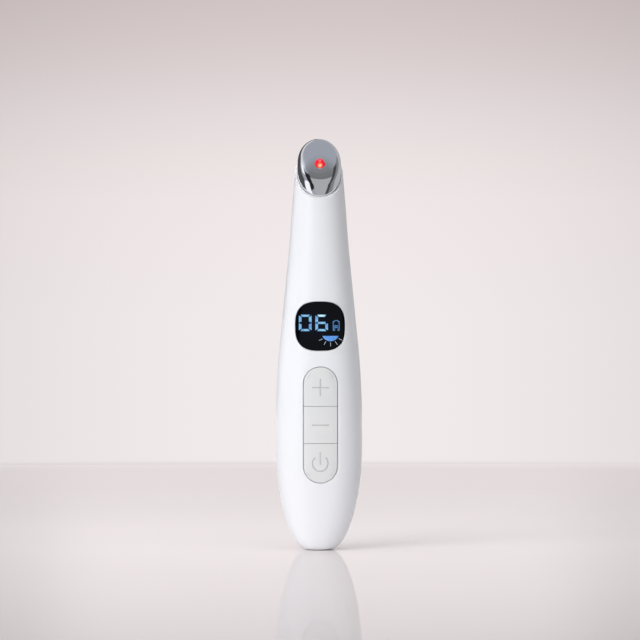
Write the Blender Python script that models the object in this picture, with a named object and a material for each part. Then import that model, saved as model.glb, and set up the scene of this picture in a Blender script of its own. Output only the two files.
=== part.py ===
"""A hand-held red light facial wand that stands on its rounded lower end.

Metres, +Z up along the wand. The origin is the centre of the small flat foot,
and the display, the keys and the treatment face look towards -Y.
"""

import math

import bmesh
import bpy
import numpy as np
from mathutils import Matrix, Vector

# Housing: foot, belly where the hand holds it, and collar under the head
FOOT_RADIUS = 0.0040
BELLY_WIDTH = 0.0337
BELLY_DEPTH = 0.0288
BELLY_HEIGHT = 0.0420
COLLAR_WIDTH = 0.0185
COLLAR_DEPTH = 0.0182
COLLAR_HEIGHT = 0.1468
COLLAR_TILT = math.radians(48)
# How far the outline's exponent goes past the 2 of an ellipse
FRONT_SQUARE_SHARE = 0.45
REAR_SQUARE_SHARE = 0.20
# Each row: share of the way from belly to collar, share of the narrowing done there
TAPER_SHARES = (
    (0.00, 0.00), (0.17, 0.035), (0.31, 0.145), (0.44, 0.32), (0.58, 0.51),
    (0.75, 0.73), (0.89, 0.87), (1.00, 1.00), (1.15, 1.10),
)
HOUSING_SIDES = 40
END_STEPS = 8
TAPER_STEPS = 14
CAVITY_STEPS = 11
COLLAR_STEPS = 5
BAND_STEPS = 6
TILT_PASSES = 6
SHARP_ANGLE = math.radians(35)

# Walls, seam and clearances
WALL = 0.0018
COLLAR_WALL = 0.0007
GROOVE_WALL = 0.0008
RIB_WALL = 0.0013
SEAM_GAP = 0.0002
TONGUE_WALL = 0.0009
TONGUE_REACH = 0.0010
TONGUE_FIT = 0.0002
FIT = 0.0003
OVERRUN = 0.0040
HOUSING_TOP = COLLAR_HEIGHT + COLLAR_DEPTH / 2 * math.tan(COLLAR_TILT) + OVERRUN

# Head: seat in the housing, flared chrome body and oblique oval face
LEDGE_DROP = 0.0228
LEDGE_HEIGHT = COLLAR_HEIGHT - LEDGE_DROP
SEAL_THICKNESS = 0.0008
SEAL_WIDTH = 0.0010
FLANGE_HEIGHT = 0.0018
RIB_HEIGHT = 0.0018
HEAD_FIT = 0.00025
HEAD_WALL = 0.0011
HEAD_WIDTH = 0.0167
HEAD_LENGTH = 0.0226
HEAD_SHIFT = 0.0007
FACE_RISE = 0.0072
FACE_DOME = 0.0008
EDGE_RADIUS = 0.0016
NECK_STEPS = 4
FLARE_STEPS = 4
EDGE_STEPS = 5
FACE_STEPS = 4
SEAT_TOP = LEDGE_HEIGHT + FIT + SEAL_THICKNESS + FIT + FLANGE_HEIGHT + FIT
RIB_TOP = SEAT_TOP + RIB_HEIGHT
TONGUE_TOP = LEDGE_HEIGHT - WALL

# Light in the face
LIGHT_DROP = 0.0033
LENS_RADIUS = 0.00207
LENS_FIT = 0.00015
LENS_PROUD = 0.0006
LENS_FLANGE_WIDTH = 0.0007
LENS_FLANGE_THICKNESS = 0.0007
LENS_SIDES = 20
DOME_STEPS = 5
EMITTER_SIZE = 0.0030
EMITTER_THICKNESS = 0.0010
LED_BOARD_RADIUS = 0.0045
LED_BOARD_THICKNESS = 0.0008
HOLDER_THICKNESS = 0.0012
HOLDER_HOLE_RADIUS = 0.0024
LENS_BASE = FACE_RISE - HEAD_WALL - FIT - LENS_FLANGE_THICKNESS
EMITTER_BASE = LENS_BASE - FIT - EMITTER_THICKNESS
LED_BOARD_BASE = EMITTER_BASE - FIT - LED_BOARD_THICKNESS
HOLDER_BASE = LED_BOARD_BASE - FIT - HOLDER_THICKNESS

# Display
PANE_WIDTH = 0.0193
PANE_HEIGHT = 0.0191
PANE_HEIGHT_SHARE = 0.4275
PANE_CENTRE = BELLY_HEIGHT + PANE_HEIGHT_SHARE * (COLLAR_HEIGHT - BELLY_HEIGHT)
PANE_SQUARE_SHARE = 0.8
PANE_SIDES = 40
PANE_THICKNESS = 0.0008
PANE_RECESS = 0.0001
PANE_FIT = 0.00015
PANE_LEDGE = 0.0007
MASK_THICKNESS = 0.0013
DISPLAY_BOARD_THICKNESS = 0.0008
DIGIT_WIDTH = 0.0047
DIGIT_HEIGHT = 0.0064
DIGIT_PITCH = 0.0061
DIGIT_STROKE = 0.0008
DIGIT_RISE = 0.0013
DIGIT_LEFT = 0.0034
SEGMENT_GAP = 0.0002
ICON_WIDTH = 0.0024
ICON_HEIGHT = 0.0034
ICON_SHIFT = 0.0062
LAMP_WIDTH = 0.0062
LAMP_HEIGHT = 0.0018
LAMP_SHIFT = 0.0038
LAMP_DROP = 0.0046
LAMP_STEPS = 8

# Keys
KEYPAD_WIDTH = 0.0134
KEYPAD_BOTTOM = 0.0264
KEYPAD_DROP = 0.0060
KEYPAD_TOP = PANE_CENTRE - PANE_HEIGHT / 2 - KEYPAD_DROP
KEY_FIT = 0.00022
KEY_GAP = 0.0003
KEY_PROUD = 0.00015
KEY_LIP = 0.0006
KEY_FLANGE_THICKNESS = 0.0008
KEY_TRAVEL = 0.00035
KEY_STEM_RADIUS = 0.0015
KEY_ARC_STEPS = 12
MIDDLE_KEY_SHARE = 0.318
SYMBOL_SIZE = 0.0065
SYMBOL_STROKE = 0.00052
SYMBOL_DEPTH = 0.0002
POWER_RADIUS = 0.0030
POWER_BAR_HEIGHT = 0.0045
POWER_OPENING = math.radians(42)
POWER_STEPS = 20

# Main board, switches and parts soldered to it
BOARD_WIDTH = 0.0170
BOARD_THICKNESS = 0.0012
BOARD_FRONT = 0.0065
BOARD_BOTTOM = 0.0204
BOARD_RISE = 0.0148
BOARD_TOP = PANE_CENTRE + BOARD_RISE
BOARD_BACK = BOARD_FRONT - BOARD_THICKNESS
BOARD_SCREW_SPREAD = 0.0060
BOARD_SCREW_INSET = 0.0026
SWITCH_SIZE = 0.0060
SWITCH_THICKNESS = 0.0026
PLUNGER_RADIUS = 0.0016
PLUNGER_FIT = 0.00015
PLUNGER_PROUD = 0.0009
PLUNGER_SEATED = 0.0008
PLUNGER_ROOM = 0.00025
SWITCH_BORE_DEPTH = PLUNGER_SEATED + KEY_TRAVEL + PLUNGER_ROOM
CHIP_SIZE = 0.0070
CHIP_THICKNESS = 0.0012
CHIP_DROP = 0.0146
CHIP_HEIGHT = BOARD_TOP - CHIP_DROP
COIL_RADIUS = 0.0028
COIL_THICKNESS = 0.0022
COIL_DROP = 0.0066
COIL_HEIGHT = BOARD_TOP - COIL_DROP

# Screws and the bosses that take them
BOSS_RADIUS = 0.0018
SCREW_HOLE_RADIUS = 0.0010
SHANK_RADIUS = 0.0007
SHANK_LENGTH = 0.0040
SCREW_HEAD_RADIUS = 0.0015
SCREW_HEAD_THICKNESS = 0.0008
ROUND_SIDES = 16

# Battery
CELL_RADIUS = 0.0070
CELL_BOTTOM = 0.0280
CELL_ROOM = 0.0055
CELL_TOP = CHIP_HEIGHT - CHIP_SIZE / 2 - CELL_ROOM
CELL_DEPTH = 0.0032
CELL_SIDES = 32
TAB_WIDTH = 0.0045
TAB_THICKNESS = 0.0004
PAD_WIDTH = 0.0080
PAD_HEIGHT = 0.0260
SADDLE_THICKNESS = 0.0014
SADDLE_INSET = 0.0100

# Charging socket at the lower back
SOCKET_HEIGHT = 0.0190
SOCKET_WIDTH = 0.0089
SOCKET_THICKNESS = 0.0032
SOCKET_LENGTH = 0.0073
SOCKET_WALL = 0.0003
SOCKET_SUNK = 0.0006
SOCKET_FIT = 0.0003
SLOT_STEPS = 6
SOCKET_TONGUE_WIDTH = 0.0066
SOCKET_TONGUE_THICKNESS = 0.0007
SOCKET_TONGUE_LENGTH = 0.0045
CHARGE_BOARD_WIDTH = 0.0140
CHARGE_BOARD_HEIGHT = 0.0110
CHARGE_BOARD_THICKNESS = 0.0012
CHARGE_SCREW_SPREAD = 0.0050
CHARGE_SCREW_RISE = 0.0041
CHARGE_SCREW_LENGTH = 0.0030
CHARGE_BOSS_RADIUS = 0.0015

# Wires
WIRE_RADIUS = 0.0005
WIRE_SPREAD = 0.0012
WIRE_POINTS = 12

WHITE_SHELL = ((0.83, 0.84, 0.86), 0.32, 0.0)
KEY_PLASTIC = ((0.74, 0.75, 0.76), 0.42, 0.0)
CHROME = ((0.72, 0.74, 0.77), 0.07, 1.0)
RED_LENS = ((0.85, 0.01, 0.03), 0.10, 0.0)
BLACK_PANE = ((0.005, 0.007, 0.010), 0.06, 0.0)
BLUE_LIGHT = ((0.18, 0.42, 0.75), 0.40, 0.0)
BOARD_GREEN = ((0.02, 0.16, 0.07), 0.45, 0.0)
BLACK_PLASTIC = ((0.02, 0.02, 0.02), 0.50, 0.0)
SILICONE = ((0.30, 0.30, 0.31), 0.70, 0.0)
STEEL = ((0.55, 0.55, 0.56), 0.30, 1.0)
CELL_WRAP = ((0.05, 0.16, 0.45), 0.35, 0.0)
FOAM = ((0.10, 0.10, 0.10), 0.90, 0.0)
RED_WIRE = ((0.60, 0.03, 0.03), 0.45, 0.0)
BLACK_WIRE = ((0.03, 0.03, 0.03), 0.45, 0.0)
CREAM_PLASTIC = ((0.70, 0.66, 0.55), 0.50, 0.0)


def clear_scene():
    for thing in list(bpy.data.objects):
        bpy.data.objects.remove(thing, do_unlink=True)


def finish(name, look):
    """The material of one piece: colour, roughness and metallic value."""
    colour, roughness, metallic = look
    material = bpy.data.materials.new(name)
    material.use_nodes = True
    shader = material.node_tree.nodes["Principled BSDF"]
    shader.inputs["Base Color"].default_value = (*colour, 1.0)
    shader.inputs["Roughness"].default_value = roughness
    shader.inputs["Metallic"].default_value = metallic
    return material


def solid(name, points, faces, look=None):
    """One closed mesh object. Without a look it is a hidden cutter."""
    mesh = bpy.data.meshes.new(name)
    mesh.from_pydata([tuple(p) for p in points], [], [tuple(f) for f in faces])
    shaped = bmesh.new()
    shaped.from_mesh(mesh)
    bmesh.ops.recalc_face_normals(shaped, faces=shaped.faces)
    shaped.to_mesh(mesh)
    shaped.free()
    piece = bpy.data.objects.new(name, mesh)
    bpy.context.scene.collection.objects.link(piece)
    if look is None:
        piece.hide_render = True
        piece.display_type = "WIRE"
        return piece
    mesh.materials.append(finish(name, look))
    mesh.shade_smooth()
    mesh.set_sharp_from_angle(angle=SHARP_ANGLE)
    return piece


def loft(name, rings, look=None, closed=False):
    """A skin over rings of equally many points, capped at both ends or closed on itself."""
    rings = np.asarray(rings)
    count, sides = rings.shape[:2]
    spans = count if closed else count - 1
    faces = []
    for ring in range(spans):
        here = ring * sides
        above = (ring + 1) % count * sides
        for side in range(sides):
            after = (side + 1) % sides
            faces.append((here + side, here + after, above + after, above + side))
    if not closed:
        faces.append(tuple(range(sides)))
        faces.append(tuple(range((count - 1) * sides, count * sides)))
    return solid(name, rings.reshape(-1, 3), faces, look)


def prism(name, outline, near, far, look=None):
    """An outline of (x, z) points carried along Y from near to far."""
    rings = [[(x, y, z) for x, z in outline] for y in (near, far)]
    return loft(name, rings, look)


def block(name, low, high, look=None):
    outline = ((low[0], low[2]), (high[0], low[2]), (high[0], high[2]), (low[0], high[2]))
    return prism(name, outline, low[1], high[1], look)


def round_outline(radius, sides, x=0.0, z=0.0):
    turns = np.arange(sides) * math.tau / sides
    return np.column_stack([x + radius * np.cos(turns), z + radius * np.sin(turns)])


def boolean(piece, other, operation):
    change = piece.modifiers.new(operation.title(), "BOOLEAN")
    change.operation = operation
    change.solver = "EXACT"
    change.object = other


def cut(piece, *cutters):
    for cutter in cutters:
        boolean(piece, cutter, "DIFFERENCE")
    return piece


def keep(piece, limit):
    boolean(piece, limit, "INTERSECT")
    return piece


def join(piece, *others):
    for other in others:
        boolean(piece, other, "UNION")
    return piece


def set_origin(piece, origin):
    """Moves a moving piece's origin onto its joint's axis, with its shape left in place."""
    piece.data.transform(Matrix.Translation(-Vector(origin)))
    piece.location = origin
    return piece


def taper(height):
    """Share of the narrowing from belly to collar that is done at this height."""
    along, done = np.array(TAPER_SHARES).T
    slopes = np.gradient(done, along)
    slopes[0] = 0.0
    share = np.clip((height - BELLY_HEIGHT) / (COLLAR_HEIGHT - BELLY_HEIGHT), 0, along[-1])
    left = np.clip(np.searchsorted(along, share, side="right") - 1, 0, len(along) - 2)
    width = along[left + 1] - along[left]
    t = (share - along[left]) / width
    rise = done[left + 1] - done[left]
    start = slopes[left] * width - rise
    end = rise - slopes[left + 1] * width
    return done[left] + t * rise + t * (1 - t) * ((1 - t) * start + t * end)


def swell(height, inset):
    """Share of the growth from foot to belly, a quarter of an ellipse in side view."""
    share = np.clip((height - inset) / (BELLY_HEIGHT - inset), 0, 1)
    return np.sqrt(1 - (1 - share) ** 2)


def half_sizes(height, inset=0.0):
    """Half the width and half the depth of the housing at a height, moved in by inset."""
    grown, narrowed = swell(height, inset), taper(height)
    width = FOOT_RADIUS + (BELLY_WIDTH / 2 - inset - FOOT_RADIUS) * grown
    depth = FOOT_RADIUS + (BELLY_DEPTH / 2 - inset - FOOT_RADIUS) * grown
    width = width - (BELLY_WIDTH - COLLAR_WIDTH) / 2 * narrowed
    depth = depth - (BELLY_DEPTH - COLLAR_DEPTH) / 2 * narrowed
    return width, depth


def housing_ring(height, inset, tilt=0.0):
    """The housing's outline where a plane tilted about X crosses its axis at this height."""
    turns = (np.arange(HOUSING_SIDES) + 0.5) * math.tau / HOUSING_SIDES
    z = np.full(HOUSING_SIDES, height)
    passes = 1 if tilt == 0 else TILT_PASSES
    for _ in range(passes):
        width, depth = half_sizes(z, inset)
        fullness = swell(z, inset) * (1 - taper(z).clip(0, 1))
        square = np.where(np.sin(turns) < 0, FRONT_SQUARE_SHARE, REAR_SQUARE_SHARE)
        power = 2 / (2 + square * fullness)
        x = width * np.sign(np.cos(turns)) * np.abs(np.cos(turns)) ** power
        y = depth * np.sign(np.sin(turns)) * np.abs(np.sin(turns)) ** power
        z = height + y * math.tan(tilt)
    return np.column_stack([x, y, z])


def housing_body(name, inset, top, look=None):
    """The housing's form as one solid, moved in by inset, from its end up to a height."""
    angles = np.arange(END_STEPS) * math.pi / 2 / END_STEPS
    heights = list(inset + (BELLY_HEIGHT - inset) * (1 - np.cos(angles)))
    heights += list(np.linspace(BELLY_HEIGHT, top, TAPER_STEPS + 1))
    return loft(name, [housing_ring(height, inset) for height in heights], look)


def housing_band(name, inset, low, high, steps=BAND_STEPS):
    """A slice of the housing's form between two heights, moved in by inset."""
    heights = np.linspace(low, high, steps + 1)
    return loft(name, [housing_ring(height, inset) for height in heights])


def front_depth(height, inset=0.0):
    """How far the housing's front lies from the axis plane on its centre line."""
    return float(half_sizes(np.array([height]), inset)[1][0])


def half_space(name, side, y):
    """A block that holds everything in front of (side -1) or behind (side 1) a plane at y."""
    reach = BELLY_WIDTH
    near, far = sorted((y, y + side * (BELLY_DEPTH + OVERRUN)))
    return block(name, (-reach, near, -OVERRUN), (reach, far, HOUSING_TOP + OVERRUN))


def collar_cutter():
    """Everything above the oblique plane on which the housing ends."""
    reach = BELLY_WIDTH
    back = math.tan(COLLAR_TILT) * reach
    top = HOUSING_TOP + reach + OVERRUN
    side = [(-reach, COLLAR_HEIGHT - back), (reach, COLLAR_HEIGHT + back), (reach, top), (-reach, top)]
    return loft("collar_cutter", [[(x, y, z) for y, z in side] for x in (-reach, reach)])


def cavity_cutter():
    """The room inside the shells, with the groove and rib that hold the head."""
    angles = np.arange(END_STEPS) * math.pi / 2 / END_STEPS
    stations = [(WALL + (BELLY_HEIGHT - WALL) * (1 - math.cos(a)), WALL) for a in angles]
    stations += [(h, WALL) for h in np.linspace(BELLY_HEIGHT, LEDGE_HEIGHT, CAVITY_STEPS + 1)]
    stations += [(LEDGE_HEIGHT, GROOVE_WALL), (SEAT_TOP, GROOVE_WALL)]
    stations += [(SEAT_TOP, RIB_WALL), (RIB_TOP, RIB_WALL)]
    stations += [(h, COLLAR_WALL) for h in np.linspace(RIB_TOP, HOUSING_TOP + OVERRUN, COLLAR_STEPS + 1)]
    return loft("cavity_cutter", [housing_ring(height, inset) for height, inset in stations])


def pane_outline(grow):
    """The display's rounded square, a superellipse grown by this much on every side."""
    turns = (np.arange(PANE_SIDES) + 0.5) * math.tau / PANE_SIDES
    power = 2 / (2 + PANE_SQUARE_SHARE)
    x = (PANE_WIDTH / 2 + grow) * np.sign(np.cos(turns)) * np.abs(np.cos(turns)) ** power
    z = (PANE_HEIGHT / 2 + grow) * np.sign(np.sin(turns)) * np.abs(np.sin(turns)) ** power
    return np.column_stack([x, PANE_CENTRE + z])


def pane_band(name, inset):
    reach = PANE_HEIGHT / 2 + OVERRUN
    return housing_band(name, inset, PANE_CENTRE - reach, PANE_CENTRE + reach)


def front_prism(name, outline, look=None):
    """An outline carried through the housing's front wall, as far as the main board."""
    return prism(name, outline, -BELLY_DEPTH / 2 - OVERRUN, -BOARD_FRONT, look)


def key_edges():
    """The heights that part the keys: top end, two dividing gaps, bottom end."""
    centre = (KEYPAD_BOTTOM + KEYPAD_TOP) / 2
    half = (KEYPAD_TOP - KEYPAD_BOTTOM) * MIDDLE_KEY_SHARE / 2
    return KEYPAD_BOTTOM, centre - half, centre + half, KEYPAD_TOP


def key_outline(low, high, grow):
    """A key's outline, rounded where it lies at an end of the keypad, grown on its outer sides."""
    half = KEYPAD_WIDTH / 2
    swing = np.linspace(0, math.pi, KEY_ARC_STEPS + 1)
    reach = half + grow
    points = []
    if high >= KEYPAD_TOP:
        points += [(reach * math.cos(a), KEYPAD_TOP - half + reach * math.sin(a)) for a in swing]
    else:
        points += [(reach, high - KEY_GAP / 2), (-reach, high - KEY_GAP / 2)]
    if low <= KEYPAD_BOTTOM:
        points += [(-reach * math.cos(a), KEYPAD_BOTTOM + half - reach * math.sin(a)) for a in swing]
    else:
        points += [(-reach, low + KEY_GAP / 2), (reach, low + KEY_GAP / 2)]
    return points


def keypad_outline(grow):
    return key_outline(KEYPAD_BOTTOM, KEYPAD_TOP, grow)


def boss(name, x, z, back, radius, side):
    """A post from the inside of a shell to the board that is screwed onto it."""
    far = side * (BELLY_DEPTH / 2 + OVERRUN)
    post = prism(name, round_outline(radius, ROUND_SIDES, x, z), min(far, back), max(far, back))
    reach = radius + OVERRUN
    return keep(post, housing_band(name + "_limit", WALL / 2, z - reach, z + reach, 2))


def board_screw_places():
    heights = (BOARD_BOTTOM + BOARD_SCREW_INSET, BOARD_TOP - BOARD_SCREW_INSET)
    return [(side * BOARD_SCREW_SPREAD, z) for z in heights for side in (-1, 1)]


def charge_screw_places():
    z = SOCKET_HEIGHT + CHARGE_SCREW_RISE
    return [(side * CHARGE_SCREW_SPREAD, z) for side in (-1, 1)]


def socket_back():
    """Where the rear end of the charging socket stops, and its board begins."""
    return front_depth(SOCKET_HEIGHT) - SOCKET_SUNK - SOCKET_LENGTH


def slot_outline(width, thickness, grow, z):
    """A slot with round ends, as wide as a charging socket."""
    reach = thickness / 2 + grow
    middle = width / 2 - thickness / 2
    swing = np.linspace(-math.pi / 2, math.pi / 2, SLOT_STEPS + 1)
    right = [(middle + reach * math.cos(a), z + reach * math.sin(a)) for a in swing]
    left = [(-middle - reach * math.cos(a), z - reach * math.sin(a)) for a in swing]
    return right + left


def make_front_shell(cavity, collar):
    shell = housing_body("front_shell", 0.0, HOUSING_TOP, WHITE_SHELL)
    cut(shell, half_space("behind_seam", 1, -SEAM_GAP / 2))
    tongue = housing_body("tongue", WALL - TONGUE_WALL, TONGUE_TOP)
    cut(tongue, half_space("behind_tongue", 1, TONGUE_REACH))
    join(shell, tongue)
    cut(shell, cavity, collar)
    pocket = front_prism("pane_pocket", pane_outline(0.0))
    cut(pocket, pane_band("pane_seat", PANE_RECESS + PANE_THICKNESS + FIT))
    cut(shell, pocket, front_prism("pane_hole", pane_outline(-PANE_LEDGE)))
    cut(shell, front_prism("keypad_hole", keypad_outline(0.0)))
    for number, (x, z) in enumerate(board_screw_places(), 1):
        join(shell, boss(f"front_boss_{number}", x, z, -BOARD_FRONT - FIT, BOSS_RADIUS, -1))
        hole = round_outline(SCREW_HOLE_RADIUS, ROUND_SIDES, x, z)
        depth = -BOARD_BACK - SHANK_LENGTH - FIT
        cut(shell, prism(f"front_boss_hole_{number}", hole, depth, -BOARD_FRONT + OVERRUN))
    return shell


def make_rear_shell(cavity, collar):
    shell = housing_body("rear_shell", 0.0, HOUSING_TOP, WHITE_SHELL)
    cut(shell, half_space("before_seam", -1, SEAM_GAP / 2))
    groove = housing_body("tongue_groove", WALL - TONGUE_WALL - TONGUE_FIT, TONGUE_TOP + TONGUE_FIT)
    cut(groove, half_space("behind_groove", 1, TONGUE_REACH + TONGUE_FIT))
    cut(shell, groove, cavity, collar)
    opening = slot_outline(SOCKET_WIDTH, SOCKET_THICKNESS, SOCKET_FIT, SOCKET_HEIGHT)
    cut(shell, prism("socket_opening", opening, socket_back(), BELLY_DEPTH / 2 + OVERRUN))
    for number, z in enumerate((CELL_BOTTOM + SADDLE_INSET, CELL_TOP - SADDLE_INSET), 1):
        low, high = z - SADDLE_THICKNESS / 2, z + SADDLE_THICKNESS / 2
        saddle = housing_band(f"saddle_{number}", WALL / 2, low, high, 1)
        cut(saddle, half_space(f"before_saddle_{number}", -1, CELL_DEPTH))
        room = round_rings(CELL_RADIUS + FIT, (low - OVERRUN, high + OVERRUN), CELL_SIDES, CELL_DEPTH)
        join(shell, cut(saddle, loft(f"cell_room_{number}", room)))
    face = socket_back() - FIT
    for number, (x, z) in enumerate(charge_screw_places(), 1):
        join(shell, boss(f"rear_boss_{number}", x, z, face + FIT, CHARGE_BOSS_RADIUS, 1))
        hole = round_outline(SCREW_HOLE_RADIUS, ROUND_SIDES, x, z)
        depth = face - CHARGE_BOARD_THICKNESS + CHARGE_SCREW_LENGTH + FIT
        cut(shell, prism(f"rear_boss_hole_{number}", hole, face - OVERRUN, depth))
    return shell


def round_rings(radius, heights, sides, y):
    """Level circles of one radius at these heights."""
    outline = round_outline(radius, sides, 0.0, y)
    return [[(px, py, z) for px, py in outline] for z in heights]


def tilted(points):
    """Points (across, along, rise) on the oblique collar plane, in the object's own axes."""
    across, along, rise = np.asarray(points, float).T
    y = along * math.cos(COLLAR_TILT) - rise * math.sin(COLLAR_TILT)
    z = COLLAR_HEIGHT + along * math.sin(COLLAR_TILT) + rise * math.cos(COLLAR_TILT)
    return np.column_stack([across, y, z])


def collar_ring(inset):
    """(across, along) of the housing's outline on the oblique collar plane."""
    ring = housing_ring(COLLAR_HEIGHT, inset, COLLAR_TILT)
    return np.column_stack([ring[:, 0], ring[:, 1] / math.cos(COLLAR_TILT)])


def oval(inset):
    """(across, along) of the head's oval, moved in by inset. It lies a little up the slope."""
    turns = (np.arange(HOUSING_SIDES) + 0.5) * math.tau / HOUSING_SIDES
    across = (HEAD_WIDTH / 2 - inset) * np.cos(turns)
    along = HEAD_SHIFT + (HEAD_LENGTH / 2 - inset) * np.sin(turns)
    return np.column_stack([across, along])


def light_circle(radius):
    turns = (np.arange(HOUSING_SIDES) + 0.5) * math.tau / HOUSING_SIDES
    return np.column_stack([radius * np.cos(turns), radius * np.sin(turns) - LIGHT_DROP])


def raised(flat, rise):
    """A ring of (across, along) points lifted off the collar plane."""
    return tilted(np.column_stack([flat, np.broadcast_to(rise, len(flat))]))


def flare(rise, inset):
    """The head's outline at a rise above the collar: slow at first, then out to the oval."""
    share = (rise / (FACE_RISE - EDGE_RADIUS)) ** 2
    return collar_ring(COLLAR_WALL + HEAD_FIT + inset) * (1 - share) + oval(inset) * share


def face_rise(flat):
    """Height of the domed face over the collar plane."""
    across = flat[:, 0] / (HEAD_WIDTH / 2 - EDGE_RADIUS)
    along = (flat[:, 1] - HEAD_SHIFT) / (HEAD_LENGTH / 2 - EDGE_RADIUS)
    return FACE_RISE + FACE_DOME * (1 - across ** 2 - along ** 2)


def make_head():
    """Chrome head, one hollow skin: flange, waist, flare, rounded edge, face and light hole."""
    base = SEAT_TOP - FIT - FLANGE_HEIGHT
    waist = RIB_WALL + FIT
    upper = COLLAR_WALL + HEAD_FIT
    shares = np.arange(NECK_STEPS) / NECK_STEPS
    climb = [(share, RIB_TOP + FIT + (COLLAR_HEIGHT - RIB_TOP - FIT) * share) for share in shares]
    rings = [housing_ring(base, GROOVE_WALL + FIT), housing_ring(SEAT_TOP - FIT, GROOVE_WALL + FIT)]
    rings += [housing_ring(SEAT_TOP - FIT, waist), housing_ring(RIB_TOP + FIT, waist)]
    rings += [housing_ring(height, upper, share * COLLAR_TILT) for share, height in climb]
    rises = np.linspace(0, FACE_RISE - EDGE_RADIUS, FLARE_STEPS + 1)
    rings += [raised(flare(rise, 0.0), rise) for rise in rises]
    for step in range(1, EDGE_STEPS + 1):
        turn = step / EDGE_STEPS * math.pi / 2
        inset = EDGE_RADIUS * (1 - math.cos(turn))
        rings.append(raised(oval(inset), FACE_RISE - EDGE_RADIUS * (1 - math.sin(turn))))
    hole = light_circle(LENS_RADIUS + LENS_FIT)
    for step in range(1, FACE_STEPS + 1):
        share = step / FACE_STEPS
        flat = oval(EDGE_RADIUS) * (1 - share) + hole * share
        rings.append(raised(flat, face_rise(flat)))
    rings.append(raised(hole, FACE_RISE - HEAD_WALL))
    rings.append(raised(oval(HEAD_WALL + EDGE_RADIUS / 2), FACE_RISE - HEAD_WALL))
    rings += [raised(flare(rise, HEAD_WALL), rise) for rise in rises[::-1]]
    inner = upper + HEAD_WALL
    rings += [housing_ring(height, inner, share * COLLAR_TILT) for share, height in climb[::-1]]
    rings.append(housing_ring(base, waist + HEAD_WALL))
    return loft("treatment_head", rings, CHROME, closed=True)


def make_head_seal():
    low = LEDGE_HEIGHT + FIT
    high = low + SEAL_THICKNESS
    outer, inner = GROOVE_WALL + FIT, GROOVE_WALL + FIT + SEAL_WIDTH
    stations = ((low, outer), (high, outer), (high, inner), (low, inner))
    return loft("head_seal", [housing_ring(z, inset) for z, inset in stations], SILICONE, closed=True)


def light_rings(stations, sides=LENS_SIDES):
    """Circles about the light's own axis from (radius, rise) pairs."""
    rings = []
    for radius, rise in stations:
        flat = round_outline(radius, sides, 0.0, -LIGHT_DROP)
        rings.append(tilted(np.column_stack([flat, np.full(sides, rise)])))
    return rings


def make_light_lens():
    flange = LENS_RADIUS + LENS_FLANGE_WIDTH
    shoulder = LENS_BASE + LENS_FLANGE_THICKNESS
    top = FACE_RISE + LENS_PROUD
    stations = [(flange, LENS_BASE), (flange, shoulder), (LENS_RADIUS, shoulder)]
    for step in range(DOME_STEPS):
        turn = step / DOME_STEPS * math.pi / 2
        stations.append((LENS_RADIUS * math.cos(turn), top + LENS_RADIUS * math.sin(turn)))
    return loft("light_lens", light_rings(stations), RED_LENS)


def make_led_parts():
    half = EMITTER_SIZE / 2
    corners = [(-half, -half), (half, -half), (half, half), (-half, half)]
    rings = []
    for rise in (EMITTER_BASE, EMITTER_BASE + EMITTER_THICKNESS):
        rings.append(tilted([(x, y - LIGHT_DROP, rise) for x, y in corners]))
    loft("led_emitter", rings, CREAM_PLASTIC)
    top = LED_BOARD_BASE + LED_BOARD_THICKNESS
    stations = ((LED_BOARD_RADIUS, LED_BOARD_BASE), (LED_BOARD_RADIUS, top))
    loft("led_board", light_rings(stations), BOARD_GREEN)
    holder_top = HOLDER_BASE + HOLDER_THICKNESS
    hole = light_circle(HOLDER_HOLE_RADIUS)
    rings = [raised(flare(rise, HEAD_WALL + FIT), rise) for rise in (HOLDER_BASE, holder_top)]
    rings += [raised(hole, rise) for rise in (holder_top, HOLDER_BASE)]
    loft("led_holder", rings, BLACK_PLASTIC, closed=True)


def make_pane():
    pane = front_prism("display_window", pane_outline(-PANE_FIT), BLACK_PANE)
    keep(pane, pane_band("pane_front", PANE_RECESS))
    return cut(pane, pane_band("pane_back", PANE_RECESS + PANE_THICKNESS))


def segment_outline(x, z, length, upright):
    """A bar with pointed ends, as in a seven-segment digit."""
    half, side = length / 2 - SEGMENT_GAP, DIGIT_STROKE / 2
    lower = [(-half, 0.0), (side - half, -side), (half - side, -side)]
    points = lower + [(-u, -v) for u, v in lower]
    if upright:
        points = [(-v, u) for u, v in points]
    return [(x + u, z + v) for u, v in points]


def digit_segments(x, z):
    """The seven bars of one digit about its centre."""
    wide = DIGIT_WIDTH - DIGIT_STROKE
    tall = (DIGIT_HEIGHT - DIGIT_STROKE) / 2
    level = [segment_outline(x, z + step * tall, wide, False) for step in (-1, 0, 1)]
    places = [(side, step) for side in (-1, 1) for step in (-1, 1)]
    upright = []
    for side, step in places:
        upright.append(segment_outline(x + side * wide / 2, z + step * tall / 2, tall, True))
    return level + upright


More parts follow.
